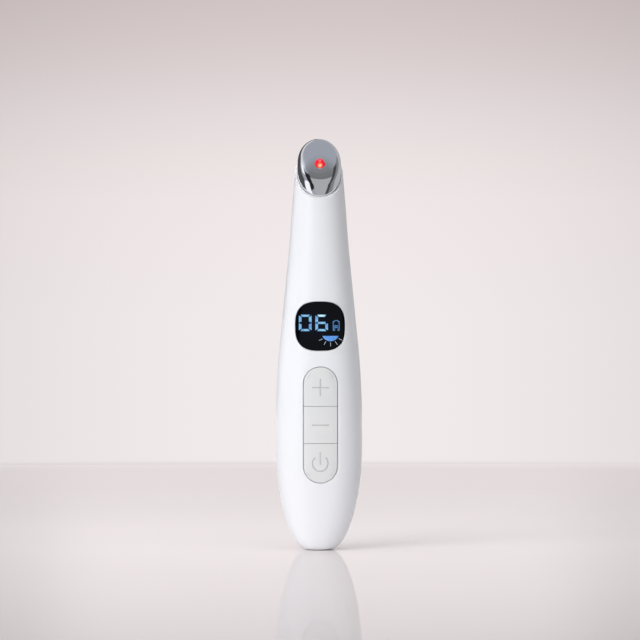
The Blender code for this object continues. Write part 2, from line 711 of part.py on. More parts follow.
def make_display():
    """Segment mask with slots for two digits and two icons, on its own small board."""
    back = -BOARD_FRONT - FIT
    board_face = back - DISPLAY_BOARD_THICKNESS
    edge = pane_outline(-PANE_LEDGE - FIT)
    prism("display_board", edge, board_face, back, BOARD_GREEN)
    mask_back = board_face - FIT
    mask = prism("display_mask", edge, mask_back - MASK_THICKNESS, mask_back, BLUE_LIGHT)
    outlines = []
    for place in (0, 1):
        x = place * DIGIT_PITCH - DIGIT_LEFT - DIGIT_WIDTH / 2
        outlines += digit_segments(x, PANE_CENTRE + DIGIT_RISE)
    w, h = ICON_WIDTH / 2, ICON_HEIGHT / 2
    x, z = ICON_SHIFT, PANE_CENTRE + DIGIT_RISE
    outlines.append([(x - w, z - h), (x + w, z - h), (x + w, z + h), (x - w, z + h)])
    swing = np.linspace(math.pi, math.tau, LAMP_STEPS + 1)
    z = PANE_CENTRE - LAMP_DROP + LAMP_HEIGHT / 2
    bowl = [(LAMP_WIDTH / 2 * math.cos(a), LAMP_HEIGHT * math.sin(a)) for a in swing]
    outlines.append([(LAMP_SHIFT + u, z + v) for u, v in bowl])
    for number, outline in enumerate(outlines, 1):
        near, far = mask_back - MASK_THICKNESS - OVERRUN, mask_back + FIT / 2
        cut(mask, prism(f"mask_slot_{number}", outline, near, far))
    return mask


def symbol_outlines(kind, z):
    """The outlines of a key's sunk symbol, about the key's centre."""
    arm, line = SYMBOL_SIZE / 2, SYMBOL_STROKE / 2
    if kind == "minus":
        return [[(-arm, z - line), (arm, z - line), (arm, z + line), (-arm, z + line)]]
    if kind == "plus":
        turn = [(line, line), (line, arm), (-line, arm)]
        points = []
        for _ in range(4):
            points += [(x, z + y) for x, y in turn]
            turn = [(-y, x) for x, y in turn]
        return [points]
    start, end = math.pi / 2 + POWER_OPENING, math.tau + math.pi / 2 - POWER_OPENING
    swing = np.linspace(start, end, POWER_STEPS + 1)
    outer, inner = POWER_RADIUS + line, POWER_RADIUS - line
    arc = [(outer * math.cos(a), z + outer * math.sin(a)) for a in swing]
    arc += [(inner * math.cos(a), z + inner * math.sin(a)) for a in swing[::-1]]
    top = z + POWER_RADIUS + SYMBOL_STROKE
    low = top - POWER_BAR_HEIGHT
    return [arc, [(-line, low), (line, low), (line, top), (-line, top)]]


def make_key(kind, low, high, z):
    """Key cap with its retaining flange and stem, and the sunk symbol on its face."""
    reach = OVERRUN
    flange_front = WALL + FIT
    flange_back = flange_front + KEY_FLANGE_THICKNESS
    middle = flange_front + KEY_FLANGE_THICKNESS / 2
    cap = front_prism(f"{kind}_button", key_outline(low, high, -KEY_FIT), KEY_PLASTIC)
    keep(cap, housing_band(f"{kind}_face", -KEY_PROUD, low - reach, high + reach))
    cut(cap, housing_band(f"{kind}_cap_back", middle, low - reach, high + reach))
    flange = front_prism(f"{kind}_flange", key_outline(low, high, KEY_LIP))
    keep(flange, housing_band(f"{kind}_flange_front", flange_front, low - reach, high + reach))
    cut(flange, housing_band(f"{kind}_flange_back", flange_back, low - reach, high + reach))
    stem_end = -BOARD_FRONT - FIT - SWITCH_THICKNESS - PLUNGER_PROUD - FIT
    stem_outline = round_outline(KEY_STEM_RADIUS, ROUND_SIDES, 0.0, z)
    stem = prism(f"{kind}_stem", stem_outline, -front_depth(z, middle), stem_end)
    join(cap, flange, stem)
    for number, outline in enumerate(symbol_outlines(kind, z), 1):
        mark = front_prism(f"{kind}_mark_{number}", outline)
        depth = SYMBOL_DEPTH - KEY_PROUD
        cut(mark, housing_band(f"{kind}_mark_floor_{number}", depth, low - reach, high + reach))
        cut(cap, mark)
    return set_origin(cap, (0.0, -front_depth(z, -KEY_PROUD), z))


def make_switch(kind, z):
    """Tact switch: square body with a bore, and the plunger that travels with the key."""
    half = SWITCH_SIZE / 2
    back = -BOARD_FRONT - FIT
    front = back - SWITCH_THICKNESS
    body = block(f"{kind}_switch", (-half, front, z - half), (half, back, z + half), BLACK_PLASTIC)
    bore = round_outline(PLUNGER_RADIUS + PLUNGER_FIT, ROUND_SIDES, 0.0, z)
    cut(body, prism(f"{kind}_switch_bore", bore, front - OVERRUN, front + SWITCH_BORE_DEPTH))
    outline = round_outline(PLUNGER_RADIUS, ROUND_SIDES, 0.0, z)
    plunger = prism(f"{kind}_plunger", outline, front - PLUNGER_PROUD, front + PLUNGER_SEATED, SILICONE)
    set_origin(plunger, (0.0, front, z))


def make_keys():
    bottom, lower, upper, top = key_edges()
    for kind, low, high in (("plus", upper, top), ("minus", lower, upper), ("power", bottom, lower)):
        z = (low + high) / 2
        make_key(kind, low, high, z)
        make_switch(kind, z)


def make_main_board():
    half = BOARD_WIDTH / 2
    low, high = (-half, -BOARD_FRONT, BOARD_BOTTOM), (half, -BOARD_BACK, BOARD_TOP)
    board = block("main_board", low, high, BOARD_GREEN)
    for number, (x, z) in enumerate(board_screw_places(), 1):
        hole = round_outline(SCREW_HOLE_RADIUS, ROUND_SIDES, x, z)
        cut(board, prism(f"board_hole_{number}", hole, -BOARD_FRONT - OVERRUN, -BOARD_BACK + OVERRUN))
    back = -BOARD_BACK + FIT
    half = CHIP_SIZE / 2
    low, high = (-half, back, CHIP_HEIGHT - half), (half, back + CHIP_THICKNESS, CHIP_HEIGHT + half)
    block("control_chip", low, high, BLACK_PLASTIC)
    coil = round_outline(COIL_RADIUS, ROUND_SIDES, 0.0, COIL_HEIGHT)
    prism("boost_coil", coil, back, back + COIL_THICKNESS, STEEL)


def make_screw(name, x, z, seat, side, length):
    """Pan head screw that points along -side, with its head on the board at seat."""
    turns = round_outline(1.0, ROUND_SIDES)
    shank = ((SHANK_RADIUS, -length), (SHANK_RADIUS, 0.0))
    head = ((SCREW_HEAD_RADIUS, 0.0), (SCREW_HEAD_RADIUS, SCREW_HEAD_THICKNESS))
    rings = []
    for radius, along in shank + head:
        rings.append([(x + radius * u, seat + side * along, z + radius * v) for u, v in turns])
    return loft(name, rings, STEEL)


def make_screws():
    for number, (x, z) in enumerate(board_screw_places(), 1):
        make_screw(f"board_screw_{number}", x, z, -BOARD_BACK + FIT, 1, SHANK_LENGTH)
    seat = socket_back() - FIT - CHARGE_BOARD_THICKNESS - FIT
    for number, (x, z) in enumerate(charge_screw_places(), 1):
        make_screw(f"charge_screw_{number}", x, z, seat, -1, CHARGE_SCREW_LENGTH)


def make_battery():
    rings = round_rings(CELL_RADIUS, (CELL_BOTTOM, CELL_TOP), CELL_SIDES, CELL_DEPTH)
    loft("battery_cell", rings, CELL_WRAP)
    half = TAB_WIDTH / 2
    bottom = CELL_BOTTOM - FIT - TAB_THICKNESS
    for name, z in (("battery_top_tab", CELL_TOP + FIT), ("battery_bottom_tab", bottom)):
        low, high = (-half, CELL_DEPTH - half, z), (half, CELL_DEPTH + half, z + TAB_THICKNESS)
        block(name, low, high, STEEL)
    middle = (CELL_BOTTOM + CELL_TOP) / 2
    low = (-PAD_WIDTH / 2, -BOARD_BACK + FIT, middle - PAD_HEIGHT / 2)
    high = (PAD_WIDTH / 2, CELL_DEPTH - CELL_RADIUS - FIT, middle + PAD_HEIGHT / 2)
    block("battery_pad", low, high, FOAM)


def make_charging():
    """Charging socket that faces the lower back, its tongue and its small board."""
    back = socket_back()
    mouth = back + SOCKET_LENGTH
    outer = slot_outline(SOCKET_WIDTH, SOCKET_THICKNESS, 0.0, SOCKET_HEIGHT)
    inner = slot_outline(SOCKET_WIDTH, SOCKET_THICKNESS, -SOCKET_WALL, SOCKET_HEIGHT)
    socket = prism("usb_socket", outer, back, mouth, STEEL)
    cut(socket, prism("socket_room", inner, back + SOCKET_WALL, mouth + OVERRUN))
    root = back + SOCKET_WALL + FIT
    half, thin = SOCKET_TONGUE_WIDTH / 2, SOCKET_TONGUE_THICKNESS / 2
    low = (-half, root, SOCKET_HEIGHT - thin)
    high = (half, root + SOCKET_TONGUE_LENGTH, SOCKET_HEIGHT + thin)
    block("usb_tongue", low, high, BLACK_PLASTIC)
    face = back - FIT
    half, tall = CHARGE_BOARD_WIDTH / 2, CHARGE_BOARD_HEIGHT / 2
    low = (-half, face - CHARGE_BOARD_THICKNESS, SOCKET_HEIGHT - tall)
    board = block("charge_board", low, (half, face, SOCKET_HEIGHT + tall), BOARD_GREEN)
    for number, (x, z) in enumerate(charge_screw_places(), 1):
        hole = round_outline(SCREW_HOLE_RADIUS, ROUND_SIDES, x, z)
        cut(board, prism(f"charge_hole_{number}", hole, low[1] - OVERRUN, face + OVERRUN))


def wire(name, places, look):
    """A round lead on one smooth curve through its places."""
    places = np.array(places, float)
    spans = len(places) - 1
    share = np.linspace(0, spans, WIRE_POINTS + 1)
    left = np.minimum(share.astype(int), spans - 1)
    t = (share - left)[:, None]
    slopes = np.gradient(places, axis=0)
    start = places[left]
    rise = places[left + 1] - start
    bend = (1 - t) * (slopes[left] - rise) + t * (rise - slopes[left + 1])
    points = start + t * rise + t * (1 - t) * bend
    curve = bpy.data.curves.new(name, "CURVE")
    curve.dimensions = "3D"
    curve.bevel_depth = WIRE_RADIUS
    curve.bevel_resolution = 1
    curve.use_fill_caps = True
    spline = curve.splines.new("POLY")
    spline.points.add(len(points) - 1)
    for point, place in zip(spline.points, points):
        point.co = (*place, 1.0)
    curve.materials.append(finish(name, look))
    piece = bpy.data.objects.new(name, curve)
    bpy.context.scene.collection.objects.link(piece)


def make_wires():
    solder = -BOARD_BACK + FIT + WIRE_RADIUS
    board_exit = tilted([(0.0, -LIGHT_DROP, LED_BOARD_BASE - FIT)])[0]
    charge_face = socket_back() - FIT - CHARGE_BOARD_THICKNESS - FIT
    for side, colour, look in ((-1, "red", RED_WIRE), (1, "black", BLACK_WIRE)):
        x = side * WIRE_SPREAD
        wire(
            f"led_lead_{colour}",
            [
                board_exit + np.array([x, 0.0, -WIRE_RADIUS]),
                (x, board_exit[1], COLLAR_HEIGHT - HEAD_LENGTH / 3),
                (x, board_exit[1], LEDGE_HEIGHT),
                (x, (board_exit[1] + solder) / 2, (LEDGE_HEIGHT + BOARD_TOP) / 2),
                (x, solder, BOARD_TOP - BOARD_SCREW_INSET),
            ],
            look,
        )
        spread = side * TAB_WIDTH
        wire(
            f"charge_lead_{colour}",
            [
                (spread / 2, charge_face, SOCKET_HEIGHT - CHARGE_BOARD_HEIGHT / 3),
                (spread / 2, charge_face - OVERRUN, SOCKET_HEIGHT - CHARGE_BOARD_HEIGHT / 2),
                (spread / 2, solder + OVERRUN / 2, SOCKET_HEIGHT),
                (spread / 2, solder, BOARD_BOTTOM + BOARD_SCREW_INSET),
            ],
            look,
        )
    tab_top = CELL_TOP + FIT + TAB_THICKNESS + FIT + WIRE_RADIUS
    wire(
        "battery_lead_red",
        [
            (0.0, CELL_DEPTH, tab_top),
            (-TAB_WIDTH, 0.0, tab_top + WIRE_RADIUS),
            (-BOARD_SCREW_SPREAD, solder + WIRE_RADIUS, tab_top + OVERRUN / 2),
            (-BOARD_SCREW_SPREAD, solder, tab_top + OVERRUN),
        ],
        RED_WIRE,
    )
    tab_bottom = CELL_BOTTOM - FIT - TAB_THICKNESS - FIT - WIRE_RADIUS
    wire(
        "battery_lead_black",
        [
            (0.0, CELL_DEPTH, tab_bottom),
            (TAB_WIDTH / 3, 0.0, tab_bottom),
            (TAB_WIDTH / 3, solder + WIRE_RADIUS, tab_bottom),
            (TAB_WIDTH / 3, solder, tab_bottom + OVERRUN),
        ],
        BLACK_WIRE,
    )


clear_scene()
cavity = cavity_cutter()
collar = collar_cutter()
make_front_shell(cavity, collar)
make_rear_shell(cavity, collar)
make_head()
make_head_seal()
make_light_lens()
make_led_parts()
make_pane()
make_display()
make_keys()
make_main_board()
make_screws()
make_battery()
make_charging()
make_wires()
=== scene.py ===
"""The looks of a hand-held red light facial wand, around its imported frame.

Metres, +Z up along the wand, which stands on its foot at the origin. The display,
the keys and the treatment face look towards -Y.
"""

import math

import bmesh
import bpy
import numpy as np
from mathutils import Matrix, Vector


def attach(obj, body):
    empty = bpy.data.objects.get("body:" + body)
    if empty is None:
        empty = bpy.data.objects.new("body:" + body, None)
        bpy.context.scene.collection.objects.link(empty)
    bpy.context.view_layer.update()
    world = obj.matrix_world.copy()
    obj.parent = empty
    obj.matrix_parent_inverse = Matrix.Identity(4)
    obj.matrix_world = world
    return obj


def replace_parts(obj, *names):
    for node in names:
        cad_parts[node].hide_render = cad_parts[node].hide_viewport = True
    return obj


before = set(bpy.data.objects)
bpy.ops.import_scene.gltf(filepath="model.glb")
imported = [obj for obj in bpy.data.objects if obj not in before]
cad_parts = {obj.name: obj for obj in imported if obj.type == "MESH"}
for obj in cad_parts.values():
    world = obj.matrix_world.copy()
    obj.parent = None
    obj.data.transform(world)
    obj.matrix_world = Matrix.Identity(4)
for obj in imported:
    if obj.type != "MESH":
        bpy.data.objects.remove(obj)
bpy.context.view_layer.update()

# The housing is two moulded halves of glossy white ABS, front and rear, that meet in a
# seam along both sides, closed by a thin lip inside. Its outline is a superellipse that
# swells from a small flat foot into the belly and narrows to a collar cut off at a slant.
FOOT_RADIUS = 0.0040
BELLY_WIDTH, BELLY_DEPTH, BELLY_HEIGHT = 0.0336, 0.0287, 0.0420
COLLAR_WIDTH, COLLAR_DEPTH, COLLAR_HEIGHT = 0.0185, 0.0182, 0.1468
COLLAR_TILT = math.radians(48)
COLLAR_SLOPE = math.tan(COLLAR_TILT)
FRONT_SQUARE_SHARE, REAR_SQUARE_SHARE = 0.45, 0.20
TAPER_SHARES = (
    (0.00, 0.00), (0.17, 0.035), (0.31, 0.145), (0.44, 0.32), (0.58, 0.51),
    (0.75, 0.73), (0.89, 0.87), (1.00, 1.00), (1.15, 1.10),
)
WALL, GROOVE_WALL, RIB_WALL, COLLAR_WALL = 0.0018, 0.0008, 0.0013, 0.0007
LEDGE_HEIGHT, SEAT_TOP, RIB_TOP = 0.1240, 0.1275, 0.1293
SEAM_GAP, EDGE, RIM = 0.0002, 0.00016, 0.00008
KEYPAD_LOW, KEYPAD_HIGH, KEYPAD_HALF = 0.0264, 0.07125, 0.0067
PANE_WIDTH, PANE_HEIGHT, PANE_SQUARE_SHARE = 0.0193, 0.0191, 0.8
PANE_CENTRE = BELLY_HEIGHT + 0.4275 * (COLLAR_HEIGHT - BELLY_HEIGHT)
PANE_RECESS, PANE_THICKNESS, PANE_LEDGE, PANE_ROOM = 0.0001, 0.0008, 0.0007, 0.0003
SOCKET_HEIGHT, SOCKET_WIDTH, SOCKET_THICKNESS = 0.0190, 0.0089, 0.0032
SOCKET_FIT = 0.0003
ACROSS = np.linspace(-1, 1, 113)
SIDE_STEPS = 128


def taper(height):
    """Share of the narrowing done: a cubic Hermite curve through TAPER_SHARES, level at the belly."""
    along, done = np.array(TAPER_SHARES).T
    slopes = np.gradient(done, along)
    slopes[0] = 0.0
    share = np.clip((height - BELLY_HEIGHT) / (COLLAR_HEIGHT - BELLY_HEIGHT), 0, along[-1])
    left = np.clip(np.searchsorted(along, share, side="right") - 1, 0, len(along) - 2)
    width = along[left + 1] - along[left]
    t = (share - along[left]) / width
    rise = done[left + 1] - done[left]
    start = slopes[left] * width - rise
    end = rise - slopes[left + 1] * width
    return done[left] + t * rise + t * (1 - t) * ((1 - t) * start + t * end)


def half_sizes(height, inset):
    """Half the width, half the depth and the fullness: foot + (belly - foot) * sqrt(1 - (1 - s)^2),
    less the taper's share of the difference between belly and collar."""
    share = np.clip((height - inset) / (BELLY_HEIGHT - inset), 0, 1)
    grown, narrowed = np.sqrt(1 - (1 - share) ** 2), taper(height)
    width = FOOT_RADIUS + (BELLY_WIDTH / 2 - inset - FOOT_RADIUS) * grown
    depth = FOOT_RADIUS + (BELLY_DEPTH / 2 - inset - FOOT_RADIUS) * grown
    width = width - (BELLY_WIDTH - COLLAR_WIDTH) / 2 * narrowed
    depth = depth - (BELLY_DEPTH - COLLAR_DEPTH) / 2 * narrowed
    return width, depth, grown * (1 - narrowed.clip(0, 1))


def wall(x, z, inset, side):
    """The housing's face over (x, z): |x / width|^n + |y / depth|^n = 1 with n = 2 + share * fullness,
    in front for side -1 and behind for 1, and never nearer to the seam than half its gap."""
    width, depth, fullness = half_sizes(z, inset)
    power = 2 + (FRONT_SQUARE_SHARE if side < 0 else REAR_SQUARE_SHARE) * fullness
    y = depth * (1 - np.minimum(np.abs(x) / width, 1) ** power) ** (1 / power)
    return np.stack([x, side * np.maximum(y, SEAM_GAP / 2), z], -1)


def across(turn, z, inset):
    """x = width * sin(turn), with turn in quarter circles from the middle of the face."""
    return half_sizes(z, inset)[0] * np.sin(turn * math.pi / 2)


def half_ring(height, inset, slope, side):
    """Half the outline where the housing meets the plane z = height + slope * y."""
    z = np.full(len(ACROSS), float(height))
    for _ in range(8):
        row = wall(across(ACROSS, z, inset), z, inset, side)
        z = height + slope * row[:, 1]
    return row


def foot_rows(inset, side):
    """The flat foot: the lowest half ring shrunk to its middle by shares from 1 to 0."""
    rim = half_ring(inset, inset, 0, side)
    rows = []
    for share in (1, 0.6, 0.25, 0):
        y = side * np.maximum(np.abs(rim[:, 1]) * share, SEAM_GAP / 2)
        rows.append(np.column_stack([rim[:, 0] * share, y, rim[:, 2]]))
    return rows


def end_rows(inset, high, steps, side):
    """From the foot's rim up to a level: z = inset + (belly - inset) * (1 - cos a)."""
    last = math.acos(1 - (high - inset) / (BELLY_HEIGHT - inset))
    angles = np.linspace(0, last, steps + 1)[1:]
    heights = inset + (BELLY_HEIGHT - inset) * (1 - np.cos(angles))
    return [half_ring(height, inset, 0, side) for height in heights]


def collar_rows(low, side):
    """Up the outer face to the slanted collar, over its rounded rim, and down the inner face."""
    reach = COLLAR_HEIGHT - RIM - low
    rows = [(low + t * reach, 0, t * COLLAR_SLOPE) for t in np.linspace(0, 1, 110)]
    for turn in np.linspace(0, math.pi / 2, 6)[1:]:
        rows.append((COLLAR_HEIGHT - RIM + RIM * math.sin(turn), RIM * (1 - math.cos(turn)), COLLAR_SLOPE))
    rows.append((COLLAR_HEIGHT, COLLAR_WALL, COLLAR_SLOPE))
    reach = COLLAR_HEIGHT - RIB_TOP
    rows += [(RIB_TOP + t * reach, COLLAR_WALL, t * COLLAR_SLOPE) for t in np.linspace(1, 0, 12)[1:]]
    rows += [(RIB_TOP, RIB_WALL, 0), (SEAT_TOP, RIB_WALL, 0), (SEAT_TOP, GROOVE_WALL, 0)]
    rows += [(LEDGE_HEIGHT, GROOVE_WALL, 0)]
    rows += [(z, WALL, 0) for z in np.linspace(LEDGE_HEIGHT, low, 14)]
    return [half_ring(*row, side) for row in rows]


def quarters(level_steps, side_steps):
    """Shares from 0 to 1 along the four sides of a loop: bottom, right, top and left."""
    level = np.linspace(0, 1, level_steps, endpoint=False)
    upright = np.linspace(0, 1, side_steps, endpoint=False)
    return level, upright, level, upright


def pane_outline(grow, steps):
    """The display's rounded square: cos and sin of the turn, each to the power 2 / (2 + share)."""
    turns = [math.pi / 2 * (s + k) - 3 * math.pi / 4 for k, s in enumerate(quarters(*steps))]
    turns = np.concatenate(turns)
    power = 2 / (2 + PANE_SQUARE_SHARE)
    x = (PANE_WIDTH / 2 + grow) * np.sign(np.cos(turns)) * np.abs(np.cos(turns)) ** power
    z = (PANE_HEIGHT / 2 + grow) * np.sign(np.sin(turns)) * np.abs(np.sin(turns)) ** power
    return x, PANE_CENTRE + z


def stadium(low, high, half, grow, steps):
    """A loop of two half circles and the straight sides between them."""
    below, right, above, left = quarters(*steps)
    reach, low, high = half + grow, low + half, high - half
    x = [-reach * np.cos(math.pi * below), reach + 0 * right]
    x += [reach * np.cos(math.pi * above), -reach + 0 * left]
    z = [low - reach * np.sin(math.pi * below), low + (high - low) * right]
    z += [high + reach * np.sin(math.pi * above), high + (low - high) * left]
    return np.concatenate(x), np.concatenate(z)


def keypad_outline(grow, steps):
    """The keypad's opening: a stadium that stands upright."""
    return stadium(KEYPAD_LOW, KEYPAD_HIGH, KEYPAD_HALF, grow, steps)


def slot_outline(grow, steps):
    """The charging socket's slot: a stadium that lies on its side."""
    half = SOCKET_THICKNESS / 2
    z, x = stadium(-SOCKET_WIDTH / 2, SOCKET_WIDTH / 2, half, grow, steps[::-1])
    return np.roll(x[::-1], 1), SOCKET_HEIGHT + np.roll(z[::-1], 1)


def opened_band(outline, edge_rows, low, high, side):
    """Loops from a band's border to the opening in it, over its edge by (grow, inset) and back inside.
    Between border and opening a loop is border * (1 - s) + opening * s, in turns and heights."""
    steps = (len(ACROSS) - 1, SIDE_STEPS)
    level, upright, _, _ = quarters(*steps)
    turn = np.concatenate([2 * level - 1, 1 + 0 * upright, 1 - 2 * level, -1 + 0 * upright])
    z = np.concatenate([low + 0 * level, low + (high - low) * upright])
    z = np.concatenate([z, high + 0 * level, high + (low - high) * upright])
    loops = []

    def between(inset, grow, shares):
        hole_x, hole_z = outline(grow, steps)
        hole = np.arcsin(hole_x / half_sizes(hole_z, inset)[0]) * 2 / math.pi
        for share in shares:
            height = z * (1 - share) + hole_z * share
            way = turn * (1 - share) + hole * share
            loops.append(wall(across(way, height, inset), height, inset, side))

    between(0.0, edge_rows[0][0], np.linspace(0, 1, 22) ** 0.9)
    for grow, inset in edge_rows[1:]:
        x, height = outline(grow, steps)
        loops.append(wall(x, height, inset, side))
    between(WALL, edge_rows[-1][0], np.linspace(1, 0, 7))
    return np.array(loops)


def rounded_edge(depth):
    """(grow, inset) over an opening's rounded edge and down its wall to a depth."""
    turns = np.linspace(0, math.pi / 2, 6)
    return [(EDGE * (1 - math.sin(a)), EDGE * (1 - math.cos(a))) for a in turns] + [(0.0, depth)]


def piece(name, grids, closed=(), filled=True):
    """One mesh from grids of points (rows, columns, 3), with quads between neighbouring rows and columns.
    Grids named in closed also join their last column to the first. Points that meet are merged,
    flat openings filled and faces turned outwards."""
    points, faces, start = [], [], 0
    for number, grid in enumerate(grids):
        grid = np.asarray(grid, float)
        rows, columns = grid.shape[:2]
        last = columns if number in closed else columns - 1
        r, c = np.meshgrid(np.arange(rows - 1), np.arange(last), indexing="ij")
        here, after = r * columns + c, r * columns + (c + 1) % columns
        faces.append(start + np.stack([here, after, after + columns, here + columns], -1).reshape(-1, 4))
        points.append(grid.reshape(-1, 3))
        start += rows * columns
    mesh = bpy.data.meshes.new(name)
    mesh.from_pydata(np.concatenate(points).tolist(), [], np.concatenate(faces).tolist())
    shaped = bmesh.new()
    shaped.from_mesh(mesh)
    bmesh.ops.remove_doubles(shaped, verts=shaped.verts, dist=4e-7)
    rim = [edge for edge in shaped.edges if edge.is_boundary]
    if rim and filled:
        bmesh.ops.holes_fill(shaped, edges=rim, sides=0)
    bmesh.ops.recalc_face_normals(shaped, faces=shaped.faces)
    shaped.to_mesh(mesh)
    shaped.free()
    mesh.shade_smooth()
    mesh.set_sharp_from_angle(angle=math.radians(38))
    made = bpy.data.objects.new(name, mesh)
    bpy.context.scene.collection.objects.link(made)
    return made


class Shade:
    """One socket of a material's node tree. + - * / on it add Math nodes."""

    def __init__(self, tree, socket=None):
        self.tree, self.socket = tree, socket

    def add(self, kind, settings=(), inputs=(), output=0):
        """Any node: its settings are set first (stops are a ramp's), then its sockets' values or links."""
        node = self.tree.nodes.new(kind)
        for key, value in dict(settings).items():
            if key != "stops":
                setattr(node, key, value)
                continue
            while len(node.color_ramp.elements) < len(value):
                node.color_ramp.elements.new(1.0)
            for element, (place, colour) in zip(node.color_ramp.elements, value):
                element.position, element.color = place, (*colour, 1.0)
        for key, value in dict(inputs).items():
            if isinstance(value, Shade):
                self.tree.links.new(value.socket, node.inputs[key])
            else:
                node.inputs[key].default_value = value
        return Shade(self.tree, node.outputs[output]) if node.outputs else self

    def math(self, operation, *values):
        """One operation on numbers or sockets."""
        return self.add("ShaderNodeMath", {"operation": operation}, dict(enumerate(values)))

    def __add__(self, other):
        return self.math("ADD", self, other)

    def __sub__(self, other):
        return self.math("SUBTRACT", self, other)

    def __rsub__(self, other):
        return self.math("SUBTRACT", other, self)

    def __neg__(self):
        return self.math("MULTIPLY", self, -1.0)

    def __mul__(self, other):
        return self.math("MULTIPLY", self, other)

    def __truediv__(self, other):
        return self.math("DIVIDE", self, other)

    __radd__, __rmul__ = __add__, __mul__

    def place(self):
        """Object coordinates, in metres."""
        return self.add("ShaderNodeTexCoord", output="Object")

    def noise(self, scale, detail=2.0, stretch=(1, 1, 1)):
        """Soft noise from 0 to 1, scale cells to the metre, stretched along an axis by a factor."""
        spread = self.add("ShaderNodeVectorMath", {"operation": "MULTIPLY"}, {0: self.place(), 1: stretch})
        return self.add("ShaderNodeTexNoise", {}, {"Vector": spread, "Scale": scale, "Detail": detail})

    def cells(self, scale, feature):
        """Distance in a pattern of cells, scale cells to the metre: to a cell's middle or its edge."""
        place = {"Vector": self.place(), "Scale": scale}
        return self.add("ShaderNodeTexVoronoi", {"feature": feature}, place, "Distance")

    def axis(self, vector, name):
        """The X, Y or Z of a vector."""
        return self.add("ShaderNodeSeparateXYZ", {}, {0: vector}, name)

    def smooth(self, value, low, high):
        """0 below low and 1 above high, with a smooth step between."""
        settings = {"interpolation_type": "SMOOTHSTEP"}
        return self.add("ShaderNodeMapRange", settings, {"Value": value, "From Min": low, "From Max": high})

    def mix(self, share, first, second):
        """The colour first * (1 - share) + second * share."""
        first, second = ((*c, 1.0) if isinstance(c, tuple) else c for c in (first, second))
        node = {"data_type": "RGBA"}
        return self.add("ShaderNodeMix", node, {"Factor": share, 6: first, 7: second}, 2)

    def seen(self):
        """1 on rays that come straight from the viewer, or by way of a mirror or glass."""
        path = self.add("ShaderNodeLightPath", output="Is Camera Ray")
        for way in ("Is Glossy Ray", "Is Transmission Ray"):
            path = self.math("MAXIMUM", path, self.add("ShaderNodeLightPath", output=way))
        return path

    def painted_dimming(self, colour, aside, ahead):
        """The backdrop's colour with painted shade: darker ahead of the viewer by the square of how far
        aside it lies.
        """
        off = self.math("MINIMUM", self.math("ABSOLUTE", aside - BACKDROP_AXIS) / VIEW_SIDE, 1.25)
        return self.mix(BACKDROP_PAINTED_DIM * off * off * ahead, colour, (0.0, 0.0, 0.0))

    def bump(self, height, depth):
        """Normals of a surface raised by height * depth, in metres."""
        return self.add("ShaderNodeBump", {}, {"Height": height, "Distance": depth, "Strength": 1.0})


def blank(made):
    """Empties the node tree of a new material or world and gives its Shade."""
    made.use_nodes = True
    made.node_tree.nodes.clear()
    return Shade(made.node_tree)


def material(name, make, kind="ShaderNodeBsdfPrincipled"):
    """A material whose shader's values come from make, which gets the tree's Shade."""
    made = bpy.data.materials.new(name)
    s = blank(made)
    s.add("ShaderNodeOutputMaterial", {}, {"Surface": s.add(kind, {}, make(s))})
    return made


def fitted(made, look, slot, body, *nodes):
    """Gives a piece its material, the body it rides on and the nodes it stands for; its slot is not used.
    """
    made.data.materials.append(look)
    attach(made, body)
    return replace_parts(made, *nodes)


def shell_finish(s):
    """Cool white, with the faint orange peel and flow marks of polished mould steel."""
    flow = s.noise(38, 3, (1, 1, 0.35))
    peel = s.noise(900, 1)
    return {
        "Base Color": s.mix(flow, (0.808, 0.826, 0.858), (0.842, 0.858, 0.884)),
        "Roughness": 0.29 + 0.05 * s.noise(240) + 0.03 * flow,
        "Normal": s.bump(peel, 2.2e-6),
        "IOR": 1.50,
    }


white_shell = material("white_shell", shell_finish)

KEYPAD_BAND, PANE_BAND, SLOT_BAND = (0.0222, 0.0742), (0.0742, 0.0996), (0.0125, 0.0255)


def half_shell(name, side, bands):
    """The closed half: foot, opened bands and collar, with the seam's flat face filled last."""
    low, high = bands[0][2], bands[-1][3]
    grids = [
        foot_rows(0.0, side)[::-1] + end_rows(0.0, low, 44, side),
        collar_rows(high, side),
        foot_rows(WALL, side)[::-1] + end_rows(WALL, low, 14, side),
    ]
    grids += [opened_band(*band, side) for band in bands]
    return piece(name, grids, closed=range(3, 3 + len(bands)))


pane_seat = PANE_RECESS + PANE_THICKNESS + PANE_ROOM
pane_edge = rounded_edge(pane_seat) + [(-PANE_LEDGE, pane_seat), (-PANE_LEDGE, WALL)]
front_cover = half_shell(
    "front_cover",
    -1,
    [
        (keypad_outline, rounded_edge(WALL), *KEYPAD_BAND),
        (pane_outline, pane_edge, *PANE_BAND),
    ],
)
fitted(front_cover, white_shell, "white_shell", "housing", "front_shell")


def socket_edge():
    """The charging opening's edge, which stands a fit's width outside the socket."""
    return [(grow + SOCKET_FIT, inset) for grow, inset in rounded_edge(WALL)]


rear_cover = half_shell("rear_cover", 1, [(slot_outline, socket_edge(), *SLOT_BAND)])
fitted(rear_cover, white_shell, "white_shell", "housing", "rear_shell")


# A thin lip of the rear half closes the seam a little below the surface, all the way round.
SEAM_PLAY, LIP_OUTER, LIP_INNER = 0.00002, 0.0003, 0.00065


def lip_side(inset, top):
    """The housing's outline in the seam's plane, up one side from the foot: (half width, height)."""
    angles = np.linspace(0, math.pi / 2, 60)
    heights = inset + (BELLY_HEIGHT - inset) * (1 - np.cos(angles))
    heights = np.concatenate([heights, np.linspace(BELLY_HEIGHT, top, 60)[1:]])
    return np.column_stack([half_sizes(heights, inset)[0], heights])


def lip_corner(inset, y):
    """One edge of the lip: down the left side, over the foot and up the right side, at a depth y."""
    right = lip_side(inset, COLLAR_HEIGHT - 2 * RIM)
    path = np.concatenate([right[::-1] * (-1, 1), right])
    return np.column_stack([path[:, 0], np.full(len(path), y), path[:, 1]])


